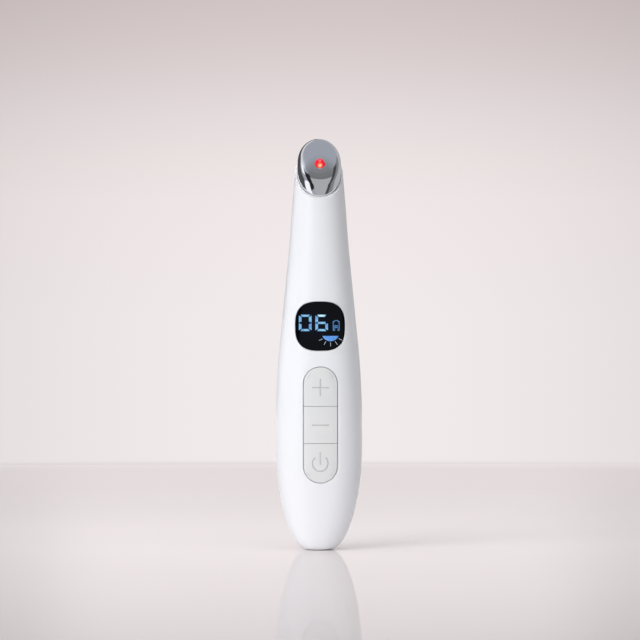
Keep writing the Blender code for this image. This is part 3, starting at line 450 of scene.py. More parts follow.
lip_half = SEAM_GAP / 2 - SEAM_PLAY
lip_corners = ((LIP_OUTER, -lip_half), (LIP_OUTER, lip_half), (LIP_INNER, lip_half), (LIP_INNER, -lip_half))
lip_grid = np.stack([lip_corner(*corner) for corner in lip_corners], 1)
seam_lip = piece("seam_lip", [lip_grid], closed=(0,))
fitted(seam_lip, white_shell, "white_shell", "housing")

# The treatment head is pressed and chromed: a skirt that clips under the collar, a waist,
# a flare out to an oval, and a slightly domed slanted face with a hole for the light.
HEAD_WIDTH, HEAD_LENGTH, HEAD_SHIFT, HEAD_EDGE = 0.0167, 0.0230, 0.0009, 0.0022
FACE_RISE, FACE_DOME, LIP_RISE, FLANK_BOW = 0.0072, 0.0008, 0.00675, 0.6
HEAD_FIT, HEAD_WALL, FIT = 0.00005, 0.0011, 0.0003
SKIRT_HEIGHT = 0.0018
LIGHT_DROP, LENS_RADIUS, LENS_FIT, LENS_PROUD = 0.0033, 0.00193, 0.00015, 0.0006
TURNS = (np.arange(240) + 0.5) * math.tau / 240


def tilted(points):
    """(across, along, rise) on the collar's plane, turned by its tilt about X and lifted to it."""
    across_, along, rise = np.moveaxis(np.asarray(points, float), -1, 0)
    y = along * math.cos(COLLAR_TILT) - rise * math.sin(COLLAR_TILT)
    z = COLLAR_HEIGHT + along * math.sin(COLLAR_TILT) + rise * math.cos(COLLAR_TILT)
    return np.stack([across_, y, z], -1)


def full_ring(height, inset, slope):
    """The whole outline (width * cos, depth * sin) of the neck, on the plane z = height + slope * y."""
    z = np.full(len(TURNS), float(height))
    for _ in range(8):
        width, depth, _ = half_sizes(z, inset)
        ring = np.stack([width * np.cos(TURNS), depth * np.sin(TURNS), z], -1)
        z = height + slope * ring[:, 1]
    return ring


def collar_ring(inset):
    """(across, along) of the housing's outline on the collar's plane."""
    ring = full_ring(COLLAR_HEIGHT, inset, COLLAR_SLOPE)
    return np.stack([ring[:, 0], ring[:, 1] / math.cos(COLLAR_TILT)], -1)


def oval(inset):
    """(across, along) of the face's oval, moved in by inset. It lies a little up the slope."""
    along = HEAD_SHIFT + (HEAD_LENGTH / 2 - inset) * np.sin(TURNS)
    return np.stack([(HEAD_WIDTH / 2 - inset) * np.cos(TURNS), along], -1)


def raised(flat, rise):
    """Points (across, along) of the collar's plane, lifted off it by a rise."""
    return tilted(np.concatenate([flat, np.broadcast_to(rise, len(flat))[:, None]], 1))


def flank(share, inset):
    """Collar ring * (1 - s) + oval * s at a share of the lip's rise, where
    s = share * (1 - bow * (1 - share))."""
    bowed = share * (1 - FLANK_BOW * (1 - share))
    flat = collar_ring(COLLAR_WALL + HEAD_FIT + inset) * (1 - bowed) + oval(inset) * bowed
    return raised(flat, share * LIP_RISE)


def face_rise(flat):
    """The domed face: rise + dome * (1 - across^2 - along^2), both as shares of the oval."""
    u = flat[:, 0] / (HEAD_WIDTH / 2 - HEAD_EDGE)
    v = (flat[:, 1] - HEAD_SHIFT) / (HEAD_LENGTH / 2 - HEAD_EDGE)
    return FACE_RISE + FACE_DOME * (1 - u**2 - v**2)


def light_circle(radius):
    """(across, along) of a circle round the light's axis: radius * (cos, sin)."""
    return np.stack([radius * np.cos(TURNS), radius * np.sin(TURNS) - LIGHT_DROP], -1)


base, waist, upper = SEAT_TOP - FIT - SKIRT_HEIGHT, RIB_WALL + FIT, COLLAR_WALL + HEAD_FIT
climb = [(t, RIB_TOP + FIT + (COLLAR_HEIGHT - RIB_TOP - FIT) * t) for t in np.linspace(0, 1, 16)[:-1]]
head_rows = [full_ring(base, GROOVE_WALL + FIT, 0), full_ring(SEAT_TOP - FIT, GROOVE_WALL + FIT, 0)]
head_rows += [full_ring(SEAT_TOP - FIT, waist, 0), full_ring(RIB_TOP + FIT, waist, 0)]
head_rows += [full_ring(height, upper, t * COLLAR_SLOPE) for t, height in climb]
lip_foot = 1 - HEAD_EDGE / LIP_RISE
head_rows += [flank(share, 0.0) for share in np.linspace(0, lip_foot, 30)]
lip = head_rows[-1], flank(1.0, 0.0), raised(oval(HEAD_EDGE), FACE_RISE)
for t in np.linspace(0, 1, 18)[1:]:
    head_rows.append((1 - t) ** 2 * lip[0] + 2 * t * (1 - t) * lip[1] + t**2 * lip[2])
hole = light_circle(LENS_RADIUS + LENS_FIT)
for t in np.linspace(0, 1, 26)[1:]:
    flat = oval(HEAD_EDGE) * (1 - t) + hole * t
    head_rows.append(raised(flat, face_rise(flat)))
head_rows.append(raised(hole, FACE_RISE - HEAD_WALL))
head_rows.append(raised(oval(HEAD_WALL + HEAD_EDGE / 2), FACE_RISE - HEAD_WALL))
head_rows += [flank(share, HEAD_WALL) for share in np.linspace(lip_foot, 0, 7)]
head_rows += [full_ring(height, upper + HEAD_WALL, t * COLLAR_SLOPE) for t, height in climb[::-2]]
head_rows += [full_ring(base, waist + HEAD_WALL, 0), head_rows[0]]


def chrome_finish(s):
    """Bright chrome with the finest polishing haze and a few faint wipe marks."""
    haze, wipe = s.noise(1500, 1), s.noise(160, 3, (1, 1, 4))
    return {
        "Base Color": s.mix(haze, (0.80, 0.815, 0.845), (0.84, 0.85, 0.875)),
        "Metallic": 1.0,
        "Roughness": 0.045 + 0.05 * wipe,
        "Normal": s.bump(haze, 2.5e-7),
    }


chrome_head = piece("chrome_head", [head_rows], closed=(0,))
fitted(chrome_head, material("chrome", chrome_finish), "chrome_head", "housing", "treatment_head")

# The light is one small dome of clear red acrylic pushed through the face from inside,
# where a flange holds it. The diode behind it shows as a hot spot low in the dome, and a painted highlight
# sits near its top.
LENS_FLANGE = 0.0007
LENS_BASE = FACE_RISE - HEAD_WALL - FIT - LENS_FLANGE
# The second spot below and its reach place a painted highlight near the top of the dome; the first is the
# diode's hot spot.
HOT_SPOT, PAINTED_HIGHLIGHT_SPOT = (0.0, -0.00187, 0.00088), (-0.0001, -0.0003, 0.0020)
HOT_REACH, HOTTEST_REACH, PAINTED_HIGHLIGHT_REACH = 0.0018, 0.0011, 0.0009


def revolved(stations):
    """(radius, rise) carried round the light's axis."""
    return [raised(light_circle(max(radius, 0.0)), rise) for radius, rise in stations]


dome_top = FACE_RISE + LENS_PROUD
stations = [(0, LENS_BASE), (LENS_RADIUS + LENS_FLANGE, LENS_BASE)]
stations += [(LENS_RADIUS + LENS_FLANGE, LENS_BASE + LENS_FLANGE), (LENS_RADIUS, LENS_BASE + LENS_FLANGE)]
for a in np.linspace(0, math.pi / 2, 24):
    stations.append((LENS_RADIUS * math.cos(a), dome_top + LENS_RADIUS * math.sin(a)))
lens_dome = piece("lens_dome", [revolved(stations)], closed=(0,))


def spot(s, centre, radius):
    """1 at a point and 0 at a radius from it."""
    away = s.add("ShaderNodeVectorMath", {"operation": "DISTANCE"}, {0: s.place(), 1: centre}, "Value")
    return 1 - s.smooth(away, 0.0, radius)


def lens_finish(s):
    """Red acrylic lit from below: deep red at the rim, orange to pale yellow where the diode sits, and a
    pale rosy painted highlight near the top of the dome.
    """
    middle = np.array((0.0, -LIGHT_DROP, dome_top))
    hot, painted_highlight = (tuple(tilted(middle + place)) for place in (HOT_SPOT, PAINTED_HIGHLIGHT_SPOT))
    warm = s.mix(spot(s, hot, HOT_REACH), (0.68, 0.0005, 0.016), (1.0, 0.24, 0.10))
    warm = s.mix(spot(s, hot, HOTTEST_REACH), warm, (1.0, 0.86, 0.50))
    # Painted highlight: a pale rosy spot near the top of the dome stands for a reflection of the studio
    # light.
    glow = s.mix(0.75 * spot(s, painted_highlight, PAINTED_HIGHLIGHT_REACH), warm, (1.0, 0.36, 0.42))
    return {
        "Base Color": (0.40, 0.002, 0.01, 1.0),
        "Roughness": 0.06 + 0.04 * s.noise(1800),
        "Emission Color": glow,
        "Emission Strength": 0.85,
        "IOR": 1.40,
    }


fitted(lens_dome, material("red_acrylic", lens_finish), "red_lens", "housing", "light_lens")

# The display window is one moulded pane of black smoked acrylic, bent as the housing is
# and laid into its pocket. It is a rounded square with a fine polished edge.
PANE_FIT, PANE_EDGE = 0.00015, 0.00018
PANE_STEPS = (60, 60)
HALO_X, HALO_RISE, HALO_REACH = -0.0026, 0.0009, 0.0085


def pane_loop(grow, inset, share=1.0):
    """The pane's outline at an inset, drawn in to its middle by a share from 1 to 0."""
    x, z = pane_outline(grow, PANE_STEPS)
    z = PANE_CENTRE + (z - PANE_CENTRE) * share
    return wall(x * share, z, inset, -1)


pane_rows = [pane_loop(-PANE_FIT, PANE_RECESS + PANE_THICKNESS, t) for t in np.linspace(0, 1, 10)]
for a in np.linspace(0, math.pi / 2, 7):
    grow, inset = -PANE_EDGE * (1 - math.cos(a)), PANE_EDGE * (1 - math.sin(a))
    pane_rows.append(pane_loop(-PANE_FIT + grow, PANE_RECESS + inset))
pane_rows += [pane_loop(-PANE_FIT - PANE_EDGE, PANE_RECESS, t) for t in np.linspace(1, 0, 32)[1:]]


def pane_finish(s):
    """Smoked acrylic, blue-black, coated against glare and hazed where fingers wipe it, with a
    faint halo of the digits' light."""
    haze = s.noise(120, 4)
    halo = spot(s, tuple(wall(HALO_X, PANE_CENTRE + HALO_RISE, PANE_RECESS, -1)), HALO_REACH)
    return {
        "Base Color": s.mix(haze, (0.0006, 0.0009, 0.0018), (0.0016, 0.0021, 0.0036)),
        "Roughness": 0.05 + 0.06 * haze,
        "Emission Color": s.mix(halo, (0.0, 0.0, 0.0), (0.0002, 0.0012, 0.0085)),
        "Emission Strength": 1.0,
        "IOR": 1.25,
    }


window_pane = piece("window_pane", [pane_rows], closed=(0,))
fitted(window_pane, material("smoked_acrylic", pane_finish), "black_window", "housing", "display_window")

# The lit signs are thin windows in the pane's mask: two seven-bar digits that read 06, a
# battery with its charge bars, and a small lamp with five rays.
SIGN_PROUD, SIGN_SUNK = 0.000012, 0.00006
DIGIT_WIDTH, DIGIT_HEIGHT = 0.00484, 0.00632
BAR_LEVEL, BAR_UPRIGHT = 0.00080, 0.00102
LEVEL_CUT, UPRIGHT_CUT = (0.00070, 0.00118), (0.00034, 0.00094)
MIDDLE_CUT, POINT_CUT = (0.00014, 0.00052), (0.00094, 0.00084)
DIGIT_RISE, ZERO_X, SIX_X = 0.00128, -0.00579, 0.00051
PALE_RISE, PALE_REACH = 0.0028, 0.0021


def sign(name, flats, closed=()):
    """Thin plates bent as the pane is, each from a flat grid of (x, z)."""
    grids, loops = [], []
    for number, flat in enumerate(flats):
        flat = np.asarray(flat, float)
        x, z = flat[..., 0], PANE_CENTRE + flat[..., 1]
        top, bottom = wall(x, z, PANE_RECESS - SIGN_PROUD, -1), wall(x, z, PANE_RECESS + SIGN_SUNK, -1)
        rings = [(top[0], bottom[0]), (top[-1], bottom[-1])]
        if number not in closed:
            rings = [tuple(edge_of(face) for face in (top, bottom))]
        faces = [(top, number in closed), (bottom, number in closed)]
        for grid, round_ in faces + [(ring, True) for ring in rings]:
            if round_:
                loops.append(len(grids))
            grids.append(np.array(grid))
    return piece(name, grids, closed=loops)


def edge_of(grid):
    """The loop round a grid's edge."""
    return np.concatenate([grid[0, :-1], grid[:-1, -1], grid[-1, :0:-1], grid[:0:-1, 0]])


def bar(x, z, half, stroke, turn, near, far):
    """A bar of a digit, turned by quarter turns. Each end is cut back by a first amount at its outer
    edge, v = 1, and by a second at its inner edge, v = -1."""
    v = np.linspace(-1, 1, 9)[:, None]
    u = np.linspace(0, 1, 25)[None, :]
    low = -half + (near[0] * (1 + v) + near[1] * (1 - v)) / 2
    high = half - (far[0] * (1 + v) + far[1] * (1 - v)) / 2
    along, up = low + (high - low) * u, v * stroke / 2 + 0 * u
    for _ in range(turn):
        along, up = -up, along
    return np.stack([x + along, z + up], -1)


def digit(x, lit):
    """The lit bars of one digit, a to g as they are lettered clockwise from the top, g in the middle."""
    wide, tall = DIGIT_WIDTH / 2, DIGIT_HEIGHT / 4
    far_x, far_z = wide - BAR_UPRIGHT / 2, DIGIT_HEIGHT / 2 - BAR_LEVEL / 2
    bars = {
        "a": (0, far_z, wide, BAR_LEVEL, 0, LEVEL_CUT, LEVEL_CUT),
        "b": (far_x, tall, tall, BAR_UPRIGHT, 3, UPRIGHT_CUT, MIDDLE_CUT),
        "c": (far_x, -tall, tall, BAR_UPRIGHT, 3, MIDDLE_CUT, UPRIGHT_CUT),
        "d": (0, -far_z, wide, BAR_LEVEL, 2, LEVEL_CUT, LEVEL_CUT),
        "e": (-far_x, -tall, tall, BAR_UPRIGHT, 1, UPRIGHT_CUT, MIDDLE_CUT),
        "f": (-far_x, tall, tall, BAR_UPRIGHT, 1, MIDDLE_CUT, UPRIGHT_CUT),
        "g": (0, 0, wide, BAR_LEVEL, 0, POINT_CUT, POINT_CUT),
    }
    made = []
    for letter in lit:
        bar_x, bar_z, *rest = bars[letter]
        made.append(bar(x + bar_x, DIGIT_RISE + bar_z, *rest))
    return made


def light_finish(deep, pale):
    """The finish of blue light behind a diffuser: uneven from bar to bar, palest at the top of the 6."""

    def finish(s):
        uneven = s.smooth(s.noise(520, 2), 0.3, 0.7)
        top_bar = wall(SIX_X, PANE_CENTRE + DIGIT_RISE + PALE_RISE, PANE_RECESS, -1)
        white = 0.9 * spot(s, tuple(top_bar), PALE_REACH)
        return {
            "Base Color": (0.02, 0.03, 0.05, 1.0),
            "Roughness": 0.06 + 0.05 * uneven,
            "Emission Color": s.mix(white, s.mix(uneven, deep, pale), (0.60, 0.97, 1.0)),
            "Emission Strength": 1.0,
            "IOR": 1.49,
        }

    return finish


digit_light = material("digit_light", light_finish((0.105, 0.300, 0.610), (0.250, 0.560, 0.800)))
fitted(sign("digit_0", digit(ZERO_X, "abcdef")), digit_light, "display_light", "housing")
fitted(sign("digit_6", digit(SIX_X, "acdefg")), digit_light, "display_light", "housing")

BATTERY_X, BATTERY_Z = 0.00616, 0.00034
BATTERY_HALF, BATTERY_TALL, BATTERY_LINE = 0.00134, 0.00172, 0.00036
BATTERY_ROUND, BATTERY_HOLLOW_ROUND = 0.0005, 0.00035
PIP_GAP, PIP_HALF, PIP_TALL = 0.00016, 0.00075, 0.00012
CHARGES, CHARGE_HALF = ((-0.00020, 0.00024), (-0.00082, 0.00022)), 0.00082
STUB_SPREAD, STUB_GAP, STUB_HALF, STUB_TALL = 0.00092, 0.00022, 0.00042, 0.00014


def box_grid(x, z, half, tall, rows=3, columns=9):
    """A plain rectangle about (x, z)."""
    u, v = np.meshgrid(np.linspace(-half, half, columns), np.linspace(-tall, tall, rows))
    return np.stack([x + u, z + v], -1)


def rounded_box(half, tall, radius):
    """A loop of four straight sides and four round corners about 0."""
    turns = np.linspace(0, math.tau, 48, endpoint=False) + math.tau / 96
    x = np.sign(np.cos(turns)) * (half - radius) + radius * np.cos(turns)
    return np.stack([x, np.sign(np.sin(turns)) * (tall - radius) + radius * np.sin(turns)], -1)


def battery_loop(t):
    """The case's line, from its outer edge at 0 to its inner edge at 1."""
    half, tall = BATTERY_HALF - BATTERY_LINE * t, BATTERY_TALL - BATTERY_LINE * t
    radius = BATTERY_ROUND * (1 - t) + BATTERY_HOLLOW_ROUND * t
    return (BATTERY_X, BATTERY_Z) + rounded_box(half, tall, radius)


battery_parts = [[battery_loop(t) for t in (0, 0.5, 1)]]
battery_parts.append(box_grid(BATTERY_X, BATTERY_Z + BATTERY_TALL + PIP_GAP, PIP_HALF, PIP_TALL))
battery_parts += [box_grid(BATTERY_X, BATTERY_Z + z, CHARGE_HALF, tall) for z, tall in CHARGES]
for x in (-STUB_SPREAD, STUB_SPREAD):
    stub = box_grid(BATTERY_X + x, BATTERY_Z - BATTERY_TALL - STUB_GAP, STUB_HALF, STUB_TALL)
    battery_parts.append(stub)
faint_light = material("faint_light", light_finish((0.030, 0.115, 0.300), (0.080, 0.260, 0.520)))
fitted(sign("battery_sign", battery_parts, closed=(0,)), faint_light, "display_light", "housing")

LAMP_X, LAMP_TOP, LAMP_HALF, LAMP_DEPTH = 0.00393, -0.00373, 0.00315, 0.00205
RAY_LENGTH, RAY_HALF, RAY_TAPER = 0.00150, 0.0001, 0.02
RAYS = (
    (-0.00312, -0.00112, 207), (-0.00182, -0.00212, 240), (0.00, -0.00250, 270),
    (0.00182, -0.00212, 304), (0.00318, -0.00100, 333),
)


def bowl():
    """A lamp's bowl: flat above, below it a circle through its two ends and its lowest point."""
    u, v = np.meshgrid(np.linspace(-1, 1, 49), np.linspace(0, 1, 9))
    radius = (LAMP_HALF**2 + LAMP_DEPTH**2) / (2 * LAMP_DEPTH)
    x = LAMP_HALF * u
    depth = np.sqrt(radius**2 - x**2) - (radius - LAMP_DEPTH)
    return np.stack([LAMP_X + x, LAMP_TOP - v * depth], -1)


def ray(x, z, degrees):
    """A fine line from (x, z), thinner at its far end."""
    along = np.linspace(0, RAY_LENGTH, 8)[None, :]
    up = np.linspace(-1, 1, 3)[:, None] * (RAY_HALF - RAY_TAPER * along)
    turn = math.radians(degrees)
    flat = [along * math.cos(turn) - up * math.sin(turn), along * math.sin(turn) + up * math.cos(turn)]
    return np.stack([LAMP_X + x + flat[0], LAMP_TOP + z + flat[1]], -1)


lamp_light = material("lamp_light", light_finish((0.060, 0.200, 0.560), (0.120, 0.340, 0.820)))
ray_light = material("ray_light", light_finish((0.320, 0.420, 0.560), (0.520, 0.640, 0.780)))
fitted(sign("lamp_bowl", [bowl()]), lamp_light, "display_light", "housing")
fitted(sign("lamp_rays", [ray(*place) for place in RAYS]), ray_light, "display_light", "housing")

# The three keys are caps of satin plastic, a shade greyer than the housing, that share one
# long opening. Each has a flange behind the wall, and its sign is sunk into the face, with painted
# shade darkening the groove.
KEY_FIT, KEY_GAP, KEY_PROUD, KEY_LIP, KEY_EDGE = 0.00021, 0.00013, 0.00015, 0.0006, 0.0001
KEY_FLANGE = 0.0008
DIVIDERS = (0.04171, 0.05599)
SIGN_PATCH, SIGN_CELLS = 0.0046, 180
SIGN_LINE, SIGN_SOFT, SIGN_DEPTH = 0.00024, 0.00014, 0.00020
SIGN_ARM = 0.00302
RING_RADIUS, RING_OPENING, RING_BAR = 0.0030, math.radians(45), (0.0042, -0.0002)


def line_distance(x, z, x0, z0, x1, z1):
    """Distance from (x, z) to the straight line between two points."""
    dx, dz = x1 - x0, z1 - z0
    t = np.clip(((x - x0) * dx + (z - z0) * dz) / (dx * dx + dz * dz), 0, 1)
    return np.hypot(x - x0 - t * dx, z - z0 - t * dz)


def sign_distance(kind, x, z):
    """Distance from (x, z) to the lines of a key's sign, about the sign's centre."""
    if kind == "minus":
        return line_distance(x, z, -SIGN_ARM, 0, SIGN_ARM, 0)
    if kind == "plus":
        upright = line_distance(x, z, 0, -SIGN_ARM, 0, SIGN_ARM)
        return np.minimum(upright, line_distance(x, z, -SIGN_ARM, 0, SIGN_ARM, 0))
    turn = np.abs(np.arctan2(x, z))
    end_x, end_z = RING_RADIUS * math.sin(RING_OPENING), RING_RADIUS * math.cos(RING_OPENING)
    round_part, ends = np.abs(np.hypot(x, z) - RING_RADIUS), np.hypot(np.abs(x) - end_x, z - end_z)
    ring = np.where(turn > RING_OPENING, round_part, ends)
    return np.minimum(ring, line_distance(x, z, 0, RING_BAR[0], 0, RING_BAR[1]))


def groove(kind, x, z):
    """1 at the bottom of a sunk line and 0 outside it, as a smooth step of the distance."""
    t = np.clip((sign_distance(kind, x, z) - SIGN_LINE) / SIGN_SOFT + 0.5, 0, 1)
    return 1 - t * t * (3 - 2 * t)


def cap_outline(low, high, grow, gap):
    """A key's loop: round where it ends the keypad, straight at a divider, in four equal sides."""
    below, right, above, left = quarters(SIGN_CELLS, SIGN_CELLS)
    reach = KEYPAD_HALF + grow
    low_round, high_round = low == KEYPAD_LOW, high == KEYPAD_HIGH
    foot = low + KEYPAD_HALF if low_round else low + gap
    head = high - KEYPAD_HALF if high_round else high - gap
    x_below = -reach * np.cos(math.pi * below) if low_round else -reach + 2 * reach * below
    x_above = reach * np.cos(math.pi * above) if high_round else reach - 2 * reach * above
    z_below = foot - (reach * np.sin(math.pi * below) if low_round else 0 * below)
    z_above = head + (reach * np.sin(math.pi * above) if high_round else 0 * above)
    x = np.concatenate([x_below, reach + 0 * right, x_above, -reach + 0 * left])
    return x, np.concatenate([z_below, foot + (head - foot) * right, z_above, head + (foot - head) * left])


def cap(name, kind, low, high, centre):
    """A fine square patch with the sunk sign, loops out to the cap's edge, over it, down the
    wall, out to the flange and closed behind."""
    side = np.linspace(-SIGN_PATCH, SIGN_PATCH, SIGN_CELLS + 1)
    x, z = np.meshgrid(side, side)
    inset = -KEY_PROUD + SIGN_DEPTH * groove(kind, x, z)
    patch = wall(x, centre + z, inset, -1)
    inner_x, inner_z = edge_of(np.stack([x, centre + z], -1)).T
    outer_x, outer_z = cap_outline(low, high, -KEY_FIT - KEY_EDGE, KEY_GAP / 2 + KEY_EDGE)
    loops = []
    for t in np.linspace(0, 1, 18):
        loops.append(wall(inner_x * (1 - t) + outer_x * t, inner_z * (1 - t) + outer_z * t, -KEY_PROUD, -1))
    for a in np.linspace(0, math.pi / 2, 7)[1:]:
        in_by = KEY_EDGE * (1 - math.sin(a))
        edge_x, edge_z = cap_outline(low, high, -KEY_FIT - in_by, KEY_GAP / 2 + in_by)
        loops.append(wall(edge_x, edge_z, -KEY_PROUD + KEY_EDGE * (1 - math.cos(a)), -1))
    back = WALL + FIT
    for grow, depth in ((-KEY_FIT, back), (KEY_LIP, back), (KEY_LIP, back + KEY_FLANGE)):
        edge_x, edge_z = cap_outline(low, high, grow, KEY_GAP / 2)
        loops.append(wall(edge_x, edge_z, depth, -1))
    middle = (low + high) / 2
    for t in (0.7, 0.35, 0):
        loops.append(wall(edge_x * t, middle + (edge_z - middle) * t, back + KEY_FLANGE, -1))
    made = piece(name, [patch, loops], closed=(1,))
    places = np.empty(len(made.data.vertices) * 3)
    made.data.vertices.foreach_get("co", places)
    x, _, z = places.reshape(-1, 3).T
    # The sunk mask also drives painted shade: the key's colour darkens along the sign's groove.
    sunk = made.data.attributes.new("sunk", "FLOAT", "POINT")
    sunk.data.foreach_set("value", groove(kind, x, z - centre))
    return made


def key_finish(s):
    """Satin plastic with a fine spark-eroded grain, and painted shade that darkens it where the sign is
    sunk.
    """
    sunk = s.add("ShaderNodeAttribute", {"attribute_name": "sunk"}, output="Fac")
    flow = s.noise(70, 3)
    face = s.mix(flow, (0.705, 0.719, 0.721), (0.735, 0.748, 0.750))
    return {
        # Painted shade: the colour is darker where the sign is sunk.
        "Base Color": s.mix(0.75 * sunk, face, (0.50, 0.505, 0.515)),
        "Roughness": 0.40 + 0.08 * s.noise(1400) + 0.10 * sunk,
        "Normal": s.bump(s.noise(4200, 2), 2.5e-6),
        "IOR": 1.50,
    }


key_plastic = material("key_plastic", key_finish)
KEYS = (
    ("plus", DIVIDERS[1], KEYPAD_HIGH, 0.06316),
    ("minus", DIVIDERS[0], DIVIDERS[1], 0.04873),
    ("power", KEYPAD_LOW, DIVIDERS[0], 0.03403),
)
for kind, low, high, centre in KEYS:
    made = cap(f"{kind}_cap", kind, low, high, centre)
    fitted(made, key_plastic, "key_plastic", f"{kind}_key", f"{kind}_button")

# The charging socket is a drawn steel shell with a black tongue that carries two rows of
# gilt contacts. It sits just inside the opening low on the back.
SOCKET_LENGTH, SOCKET_SUNK, SOCKET_WALL = 0.0073, 0.0006, 0.0003
TONGUE_HALF, TONGUE_THIN, TONGUE_LENGTH, TONGUE_EDGE = 0.0033, 0.00035, 0.0045, 0.00012
CONTACT_SPREAD, CONTACT_HALF, CONTACT_PROUD, CONTACT_EDGE = 0.00275, 0.00013, 0.00002, 0.000008
CONTACT_START, CONTACT_END = 0.0034, 0.0003
mouth = half_sizes(np.array([SOCKET_HEIGHT]), 0.0)[1][0] - SOCKET_SUNK
root = mouth - SOCKET_LENGTH


def slot_loop(grow, y):
    """The slot's outline at a depth y."""
    x, z = slot_outline(grow, (24, 20))
    return np.stack([x, y + 0 * x, z], -1)


def hub(loop):
    """A loop drawn in to its middle, which closes what it surrounds."""
    return 0 * loop + loop.mean(0)


thin = SOCKET_WALL / 2
lip = [(-thin + thin * math.cos(a), mouth - thin + thin * math.sin(a)) for a in np.linspace(0, math.pi, 9)]
socket_rows = [slot_loop(0.0, root)] + [slot_loop(grow, y) for grow, y in lip]
socket_rows.append(slot_loop(-SOCKET_WALL, root + SOCKET_WALL))
socket_rows = [hub(socket_rows[0]), *socket_rows, hub(socket_rows[-1])]


def steel_finish(s):
    """Drawn steel, brushed along the wand, with small scuffs."""
    brushed, scuff = s.noise(2600, 2, (1, 1, 0.05)), s.noise(500, 3)
    return {
        "Base Color": s.mix(brushed, (0.50, 0.50, 0.51), (0.64, 0.64, 0.645)),
        "Metallic": 1.0,
        "Roughness": 0.22 + 0.14 * brushed + 0.08 * scuff,
        "Normal": s.bump(brushed, 1.5e-6),
    }


steel = material("steel", steel_finish)
fitted(piece("socket_shell", [socket_rows], closed=(0,)), steel, "steel", "housing", "usb_socket")


def block(low, high, edge):
    """A box with a chamfered edge, as loops of its section carried along Y."""
    (x0, y0, z0), (x1, y1, z1) = low, high
    loops = []
    for y, back in ((y0, None), (y0, edge), (y0 + edge, 0), (y1 - edge, 0), (y1, edge), (y1, None)):
        if back is None:
            loops.append(np.tile(((x0 + x1) / 2, y, (z0 + z1) / 2), (8, 1)))
            continue
        a, b = back, max(edge, back)
        x = [x0 + b, x1 - b, x1 - a, x1 - a, x1 - b, x0 + b, x0 + a, x0 + a]
        z = [z0 + a, z0 + a, z0 + b, z1 - b, z1 - a, z1 - a, z1 - b, z0 + b]
        loops.append(np.stack([x, [y] * 8, z], -1))
    return loops


def tongue_finish(s):
    """Black glass-filled plastic with a fine grain."""
    return {
        "Base Color": s.mix(s.noise(900, 3), (0.012, 0.012, 0.013), (0.028, 0.028, 0.030)),
        "Roughness": 0.42 + 0.15 * s.noise(700),
        "Normal": s.bump(s.noise(3000), 3e-6),
    }


black_plastic = material("black_plastic", tongue_finish)
tongue_low = (-TONGUE_HALF, root + SOCKET_WALL + FIT, SOCKET_HEIGHT - TONGUE_THIN)
tongue_high = (TONGUE_HALF, root + SOCKET_WALL + FIT + TONGUE_LENGTH, SOCKET_HEIGHT + TONGUE_THIN)
tongue = piece("socket_tongue", [block(tongue_low, tongue_high, TONGUE_EDGE)], closed=(0,))
fitted(tongue, black_plastic, "black_plastic", "housing", "usb_tongue")


def grained(dark, pale, noise, rough, rougher, depth, **more):
    """A finish between two colours, rougher where it is pale, with the same noise in its surface."""

    def finish(s):
        grain = s.noise(*noise)
        return {
            "Base Color": s.mix(grain, dark, pale),
            "Roughness": rough + rougher * grain,
            "Normal": s.bump(grain, depth),
            **more,
        }

    return finish


# Thin gold over nickel, worn paler in spots.
gilt_finish = grained((0.83, 0.60, 0.22), (0.90, 0.74, 0.42), (1900, 3), 0.18, 0.15, 1e-6, Metallic=1.0)
contacts = []
for side in (-1, 1):
    z = SOCKET_HEIGHT + side * TONGUE_THIN
    for x in np.linspace(-CONTACT_SPREAD, CONTACT_SPREAD, 12):
        low = (x - CONTACT_HALF, tongue_high[1] - CONTACT_START, z - CONTACT_PROUD)
        high = (x + CONTACT_HALF, tongue_high[1] - CONTACT_END, z + CONTACT_PROUD)
        contacts.append(block(low, high, CONTACT_EDGE))
gilt = piece("socket_contacts", contacts, closed=range(len(contacts)))
fitted(gilt, material("gilt", gilt_finish), "steel", "housing")

# The works inside are seen only with the housing open: boards, switches, a cell with its
# leads, screws and the diode. Their solids are right as they are and get their finishes.


def board_finish(s):
    """Green solder mask over copper tracks, which show as paler lines between cells."""
    track = 1 - s.smooth(s.cells(520.0, "DISTANCE_TO_EDGE"), 0.05, 0.09)
    mask = s.mix(s.noise(300, 3), (0.008, 0.105, 0.040), (0.016, 0.150, 0.062))
    return {
        "Base Color": s.mix(0.7 * track, mask, (0.045, 0.260, 0.100)),
        "Roughness": 0.30 + 0.12 * s.noise(900),
        "Normal": s.bump(track, 1.2e-5),
    }


def foam_finish(s):
    """Charcoal closed-cell foam: painted shade makes the pores dark, with small bright rims round them."""
    pore_and_painted_shade = s.cells(2200.0, "F1")
    return {
        # Painted shade: darker towards the middle of each cell, where the bump sinks.
        "Base Color": s.mix(pore_and_painted_shade, (0.045, 0.045, 0.048), (0.130, 0.130, 0.135)),
        "Roughness": 0.80 + 0.15 * pore_and_painted_shade,
        "Normal": s.bump(pore_and_painted_shade, 8e-5),
    }


def wire_finish(dark, pale):
    """Soft insulation between two shades of its colour, dulled where it has been handled."""
    return grained(dark, pale, (800, 3), 0.32, 0.22, 8e-6)


# Blue shrink film, drawn tight, with fine wrinkles along the cell.
CELL = (0.030, 0.115, 0.360), (0.055, 0.180, 0.480), (420, 3, (1, 1, 0.12)), 0.22, 0.20, 2.5e-5
# Soft grey silicone with a dusty bloom.
SILICONE = (0.225, 0.228, 0.235), (0.330, 0.332, 0.340), (650, 4), 0.55, 0.20, 1.2e-5
# Cream ceramic package round the diode.
PACKAGE = (0.640, 0.600, 0.480), (0.740, 0.700, 0.590), (1600, 3), 0.34, 0.16, 6e-6
# Milky blue diffusing film behind the pane.
FILM = (0.150, 0.360, 0.660), (0.230, 0.480, 0.800), (480, 3), 0.42, 0.14, 4e-6

